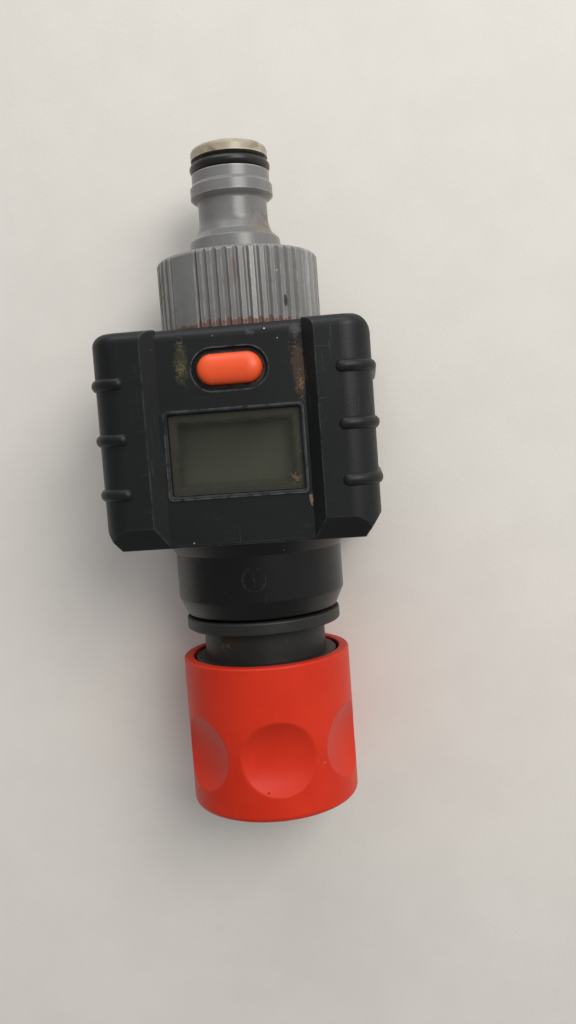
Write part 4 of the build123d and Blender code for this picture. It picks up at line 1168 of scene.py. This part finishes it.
@dataclass
class FlowCore:
    """The flow tube with its collar, the guides and the turbine."""

    collar_r: float = 17.9
    proud: float = 0.11
    clock_place: tuple[float, float] = (0.9, 49.3)
    clock_r: float = 2.5
    line: float = 0.26
    tick_count: int = 12
    tick_reach: float = 0.8
    tick_size: tuple[float, float] = (0.42, 0.156)
    arrow_head_r: float = 0.62
    arrow_steps: tuple[float, float] = (-0.3, 1.0)
    blank_depth: float = 3.0

    def clock(self) -> bpy.types.Object:
        """Models the moulder's date clock: a ring with ticks and an arrow, following the collar's round.

        Returns:
            The finished piece.
        """
        x, y = self.clock_place
        deep = self.blank_depth
        shaft_step, head_step = self.arrow_steps
        z = self.collar_r - deep / 2 + 1.0
        ring = Bench.start(
            "mould_clock", bpy.ops.mesh.primitive_cylinder_add, vertices=64, radius=self.clock_r * MM,
            depth=deep * MM, end_fill_type="NOTHING", location=metres((x, y, z)),
        )
        Bench.modify(ring, "SOLIDIFY", thickness=self.line * MM, offset=-1.0)
        parts = [ring]
        for number in range(self.tick_count):
            angle = 2 * math.pi * number / self.tick_count
            reach = self.clock_r * self.tick_reach
            spot = (x + reach * math.cos(angle), y + reach * math.sin(angle), z)
            name = f"tick_{number}"
            tick = Bench.start(name, bpy.ops.mesh.primitive_cube_add, size=MM, location=metres(spot))
            tick.scale = (*self.tick_size, deep)
            tick.rotation_euler = (0.0, 0.0, angle)
            parts.append(tick)
        spot = metres((x, y + shaft_step, z))
        shaft = Bench.start("arrow_shaft", bpy.ops.mesh.primitive_cube_add, size=MM, location=spot)
        shaft.scale = (self.line, self.clock_r, deep)
        head = Bench.start(
            "arrow_head", bpy.ops.mesh.primitive_cylinder_add, vertices=3,
            radius=self.arrow_head_r * MM, depth=deep * MM, location=metres((x, y + head_step, z)),
        )
        clock = Bench.join([*parts, shaft, head])
        skin = Bench.start(
            "collar_skin", bpy.ops.mesh.primitive_cylinder_add, vertices=360,
            radius=(self.collar_r + self.proud) * MM, depth=10 * MM, location=metres((0, y, 0)),
            rotation=(math.pi / 2, 0, 0),
        )
        Bench.modify(clock, "BOOLEAN", operation="INTERSECT", solver="EXACT", object=skin, use_self=True)
        bpy.data.objects.remove(skin)
        return Bench.settle(clock, 30.0)

    def build(self, shop: Workshop) -> None:
        """Makes the date clock and dresses the flow tube and the turbine.

        Args:
            shop: The workshop.
        """
        collar = Finish(
            "collar_black", shade=(7.0, 7.0, 7.0), second=(10.0, 10.0, 9.0), roughness=0.29, drift=0.12,
            grain=Grain.SATIN, worn_and_highlighted=0.35, worn_and_highlight_shade=(70.0, 72.0, 74.0), worn_and_highlight_width=0.35, grime=0.3,
            grime_shade=(52.0, 43.0, 32.0), scratched=0.14, dusted=0.04, specular=0.38,
            stains_and_highlights=(
                StainAndHighlight(
                    centre=(-10.5, 53.5, 14.5), reach=(5.5, 3.2, 6.0), shade=(52.0, 40.0, 28.0), cover=0.2,
                    breaks=2.5, speck=420.0, amount=0.5,
                ),
                StainAndHighlight(
                    centre=(1.0, 55.8, 18.0), reach=(9.0, 1.2, 6.0), shade=(48.0, 38.0, 28.0), cover=0.1,
                    breaks=2.5, speck=500.0, amount=0.5,
                ),
            ),
        )
        shop.dress(collar, "flow_tube")
        shop.fit(self.clock(), collar, "meter", "black_plastic")
        natural = Finish(
            "natural_acetal", shade=(222.0, 218.0, 206.0), second=(212.0, 206.0, 190.0), roughness=0.4,
            drift=0.1, grain=Grain.SATIN, grime=0.35, grime_shade=(168.0, 150.0, 118.0),
        )
        shop.dress(natural, "inlet_guide", "outlet_guide", "turbine_rotor", "lcd_connectors")
        bush = Finish(
            "bush_ptfe", shade=(232.0, 231.0, 226.0), second=(220.0, 218.0, 210.0), roughness=0.5,
            drift=0.08, grain=Grain.POLISHED, grime=0.2,
        )
        shop.dress(bush, "inlet_bush", "outlet_bush")
        ferrite = Finish(
            "magnet_plating", shade=(150.0, 150.0, 154.0), second=(120.0, 120.0, 124.0), roughness=0.28,
            drift=0.15, grain=Grain.POLISHED, worn_and_highlighted=0.4, worn_and_highlight_shade=(196.0, 196.0, 200.0),
            worn_and_highlight_width=0.2, metallic=1.0,
        )
        shop.dress(ferrite, "rotor_magnets")


@dataclass
class InletCoupling:
    """The quick coupling: the red sleeve, the body behind it, the cage and its catches."""

    catch_count: int = 3

    def build(self, shop: Workshop) -> None:
        """Dresses the coupling's pieces.

        Args:
            shop: The workshop.
        """
        red = Finish(
            "sleeve_red_orange", shade=(202.0, 46.0, 24.0), second=(210.0, 52.0, 28.0), roughness=0.4,
            drift=0.12, grain=Grain.SATIN, worn_and_highlighted=0.2, worn_and_highlight_shade=(240.0, 112.0, 84.0), worn_and_highlight_width=0.5,
            grime=0.25, grime_shade=(112.0, 42.0, 28.0), scratched=0.1, dusted=0.02, specular=0.18,
            stains_and_highlights=(
                StainAndHighlight(
                    centre=(0.6, 5.4, 17.9), reach=(0.5, 0.35, 2.0), shade=(96.0, 26.0, 20.0), cover=0.6,
                    breaks=1.0, speck=2000.0, amount=0.8,
                ),
                StainAndHighlight(
                    centre=(11.0, -0.4, 13.5), reach=(2.0, 0.8, 4.0), shade=(104.0, 44.0, 32.0), cover=0.2,
                    breaks=3.0, speck=1200.0, amount=0.5,
                ),
            ),
        )
        shop.dress(red, "sleeve")
        charcoal = Finish(
            "coupling_charcoal", shade=(30.0, 31.0, 30.0), second=(36.0, 37.0, 36.0), roughness=0.46,
            drift=0.12, grain=Grain.SATIN, worn_and_highlighted=0.35, worn_and_highlight_shade=(104.0, 106.0, 104.0),
            worn_and_highlight_width=0.35, grime=0.55, grime_shade=(58.0, 46.0, 34.0), scratched=0.12, dusted=0.05,
            specular=0.38,
            stains_and_highlights=(
                StainAndHighlight(
                    centre=(-5.5, 36.2, 12.6), reach=(5.0, 2.8, 5.0), shade=(58.0, 44.0, 32.0), cover=0.7,
                    breaks=2.2, speck=900.0, amount=0.7,
                ),
                StainAndHighlight(
                    centre=(-7.0, 34.6, 11.5), reach=(4.5, 1.6, 5.0), shade=(104.0, 92.0, 62.0), cover=0.3,
                    breaks=3.6, speck=1500.0, amount=0.6,
                ),
            ),
        )
        shop.dress(charcoal, "coupling_body", "catch_cage")
        catch = Finish(
            "catch_acetal", shade=(206.0, 206.0, 202.0), second=(192.0, 192.0, 188.0), roughness=0.38,
            drift=0.1, grain=Grain.SATIN, worn_and_highlighted=0.3, worn_and_highlight_shade=(230.0, 230.0, 226.0), worn_and_highlight_width=0.3,
            grime=0.4, grime_shade=(120.0, 104.0, 80.0), scratched=0.1,
        )
        shop.dress(catch, *[f"catch_{number + 1}" for number in range(self.catch_count)])


@dataclass
class TapConnector:
    """The ribbed tap nut with the hose nipple on it, the nipple's O-ring and the tap washer."""

    neck_shade: Shade = (104.0, 84.0, 68.0)

    def build(self, shop: Workshop) -> None:
        """Dresses the connector, its O-ring and its washer.

        Args:
            shop: The workshop.
        """
        brown = self.neck_shade
        grey = NutFinish(
            "connector_grey", shade=(113.0, 113.0, 112.0), second=(122.0, 122.0, 121.0), roughness=0.28,
            drift=0.12, grain=Grain.SATIN, worn_and_highlighted=0.5, worn_and_highlight_shade=(216.0, 216.0, 212.0),
            worn_and_highlight_width=0.35, grime=0.5, grime_shade=(110.0, 102.0, 90.0), scratched=0.14, dusted=0.03,
            stains_and_highlights=(
                StainAndHighlight(
                    centre=(7.6, 122.8, 3.5), reach=(3.4, 4.2, 5.5), shade=brown, cover=0.7, breaks=3.4,
                    speck=700.0, amount=0.45,
                ),
                StainAndHighlight(
                    centre=(6.4, 120.0, 5.0), reach=(3.6, 2.6, 4.5), shade=(120.0, 98.0, 74.0), cover=0.75,
                    breaks=2.6, speck=520.0, amount=0.4,
                ),
                StainAndHighlight(
                    centre=(4.8, 124.4, 6.0), reach=(1.0, 3.2, 4.0), shade=brown, cover=0.6, breaks=3.4,
                    speck=1300.0, amount=0.45,
                ),
                StainAndHighlight(
                    centre=(-3.4, 123.4, 6.6), reach=(0.5, 1.6, 3.0), shade=(70.0, 66.0, 62.0), cover=0.3,
                    breaks=4.0, speck=2000.0, amount=0.5,
                ),
                StainAndHighlight(
                    centre=(1.6, 110.6, 16.6), reach=(0.9, 4.6, 2.5), shade=(108.0, 88.0, 72.0), cover=0.7,
                    breaks=1.8, speck=600.0, amount=0.6,
                ),
                StainAndHighlight(
                    centre=(10.9, 104.3, 12.9), reach=(0.5, 1.7, 3.0), shade=(40.0, 38.0, 36.0), cover=0.85,
                    breaks=0.8, speck=1600.0, amount=0.95,
                ),
                StainAndHighlight(
                    centre=(13.2, 104.6, 10.2), reach=(0.9, 3.4, 3.0), shade=(104.0, 104.0, 82.0),
                    cover=0.5, breaks=2.4, speck=900.0, amount=0.6,
                ),
                StainAndHighlight(
                    centre=(-15.4, 108.5, 6.0), reach=(2.0, 7.0, 6.0), shade=(104.0, 104.0, 80.0),
                    cover=0.7, breaks=2.6, speck=900.0, amount=0.5,
                ),
                StainAndHighlight(
                    centre=(3.5, 137.6, 7.0), reach=(2.5, 0.8, 3.0), shade=(168.0, 142.0, 118.0), cover=0.1,
                    breaks=3.0, speck=800.0, amount=0.5,
                ),
            ),
        )
        shop.dress(grey, "tap_connector")
        ring = Finish(
            "oring_rubber", shade=(22.0, 22.0, 23.0), second=(28.0, 28.0, 29.0), roughness=0.34, drift=0.1,
            grain=Grain.POLISHED, scratched=0.2, worn_and_highlight_shade=(70.0, 70.0, 70.0), dusted=0.03,
        )
        shop.dress(ring, "nipple_oring", "tap_washer")


@dataclass
class Electronics:
    """The board with its battery, behind and under the display."""

    def build(self, shop: Workshop) -> None:
        """Dresses the board and the battery.

        Args:
            shop: The workshop.
        """
        board = BoardFinish(
            "solder_mask_green", shade=(20.0, 74.0, 44.0), second=(24.0, 84.0, 50.0), roughness=0.36,
            drift=0.1, grain=Grain.POLISHED,
        )
        shop.dress(board, "circuit_board")
        cell = Finish(
            "cell_steel", shade=(190.0, 190.0, 188.0), second=(172.0, 172.0, 170.0), roughness=0.26,
            drift=0.16, grain=Grain.POLISHED, worn_and_highlighted=0.3, worn_and_highlight_shade=(226.0, 226.0, 224.0),
            worn_and_highlight_width=0.3, scratched=0.3, metallic=1.0,
        )
        shop.dress(cell, "battery")


# ---- the studio ----
@dataclass(frozen=True)
class SoftLight:
    """A square panel of light that faces the object, sizes in metres."""

    name: str
    place: Place
    side: tuple[float, float]
    power: float
    shade: Shade = (255.0, 255.0, 255.0)

    def hang(self, target: Vector) -> None:
        """Adds the panel, facing a target.

        Args:
            target: What it lights.
        """
        lamp = bpy.data.lights.new(self.name, "AREA")
        lamp.shape = "RECTANGLE"
        lamp.size, lamp.size_y = self.side
        lamp.energy = self.power
        lamp.color = linear(self.shade)[:3]
        stand = bpy.data.objects.new(self.name, lamp)
        stand.location = self.place
        stand.rotation_euler = (target - Vector(self.place)).to_track_quat("-Z", "Y").to_euler()
        bpy.context.scene.collection.objects.link(stand)
        log.info("light %s", self.name)


@dataclass
class Studio:
    """The pale floor, the soft lights and the camera."""

    floor_side: float = 3.0
    camera_place: Place = (25.58, 76.1, 194.32)
    camera_turn: Place = (-4.799, 5.121, -4.231)
    lens: float = 31.64
    sensor: float = 36.0
    near: float = 0.005
    sky_bright: float = 0.66
    sky_dark: float = 0.27
    sky_side: Place = (0.75, 0.62, -0.2)
    sky_spread: tuple[float, float] = (-0.35, 0.95)
    sky_shade: Shade = (250.0, 250.0, 252.0)
    lights: tuple[SoftLight, ...] = (
        SoftLight(
            "window_right", place=(0.34, 0.36, 0.58), side=(0.30, 0.45), power=3.0,
            shade=(255.0, 252.0, 246.0),
        ),
        SoftLight(
            "window_top", place=(-0.02, 0.80, 0.34), side=(0.80, 0.35), power=2.6,
            shade=(250.0, 251.0, 255.0),
        ),
    )

    def floor(self, shop: Workshop) -> None:
        """Lays the pale floor, with a faint fibrous tone.

        Args:
            shop: The workshop.
        """
        low, _ = CAD_BOX
        plane = Bench.start("floor", bpy.ops.mesh.primitive_plane_add, size=self.floor_side)
        plane.location.z = low.z
        bpy.ops.object.transform_apply(location=True, rotation=False, scale=False)
        paper = Finish(
            "pale_floor", shade=(226.0, 222.0, 215.0), second=(229.0, 225.0, 218.0), roughness=0.75,
            drift=0.05, grain=Grain.CAST, specular=0.2,
        )
        plane.data.materials.append(shop.material(paper))
        log.info("floor laid at %.4f m", low.z)

    def camera(self) -> None:
        """Sets up the camera over the display, a little to the right and tilted."""
        lens = bpy.data.cameras.new("camera")
        lens.lens = self.lens
        lens.sensor_width = self.sensor
        lens.clip_start = self.near
        stand = bpy.data.objects.new("camera", lens)
        stand.location = metres(self.camera_place)
        stand.rotation_euler = [math.radians(turn) for turn in self.camera_turn]
        bpy.context.scene.collection.objects.link(stand)
        bpy.context.scene.camera = stand
        log.info("camera set")

    def room(self) -> None:
        """Gives the room a pale light that is brighter on the windows' side and dim overhead."""
        world = bpy.data.worlds.new("room")
        world.use_nodes = True
        graph = Graph(world.node_tree)
        outward = graph.add("ShaderNodeTexCoord").outputs["Generated"]
        towards = graph.vector("DOT_PRODUCT", outward, self.sky_side, output=1)
        strength = graph.step(towards, *self.sky_spread)
        strength = graph.math("MULTIPLY_ADD", strength, self.sky_bright - self.sky_dark, self.sky_dark)
        background = world.node_tree.nodes["Background"]
        background.inputs["Color"].default_value = linear(self.sky_shade)
        graph.feed(background.inputs["Strength"], strength)
        bpy.context.scene.world = world
        bpy.context.scene.view_settings.view_transform = "Standard"

    def build(self, shop: Workshop) -> None:
        """Sets up the floor, the lights and the camera.

        Args:
            shop: The workshop.
        """
        self.floor(shop)
        self.room()
        low, high = CAD_BOX
        for light in self.lights:
            light.hang((low + high) / 2)
        self.camera()


def main() -> None:
    """Builds every sub-assembly and the studio."""
    logging.basicConfig(level=logging.INFO, format="%(name)s: %(message)s")
    shop = Workshop()
    shop.effects.build()
    assemblies = (
        HousingShells(), DisplayWindow(), PressButton(), FlowCore(), InletCoupling(), TapConnector(),
        Electronics(),
    )
    for assembly in assemblies:
        assembly.build(shop)
        log.info("finished %s", type(assembly).__name__)
    Studio().build(shop)


if __name__ == "__main__":
    main()
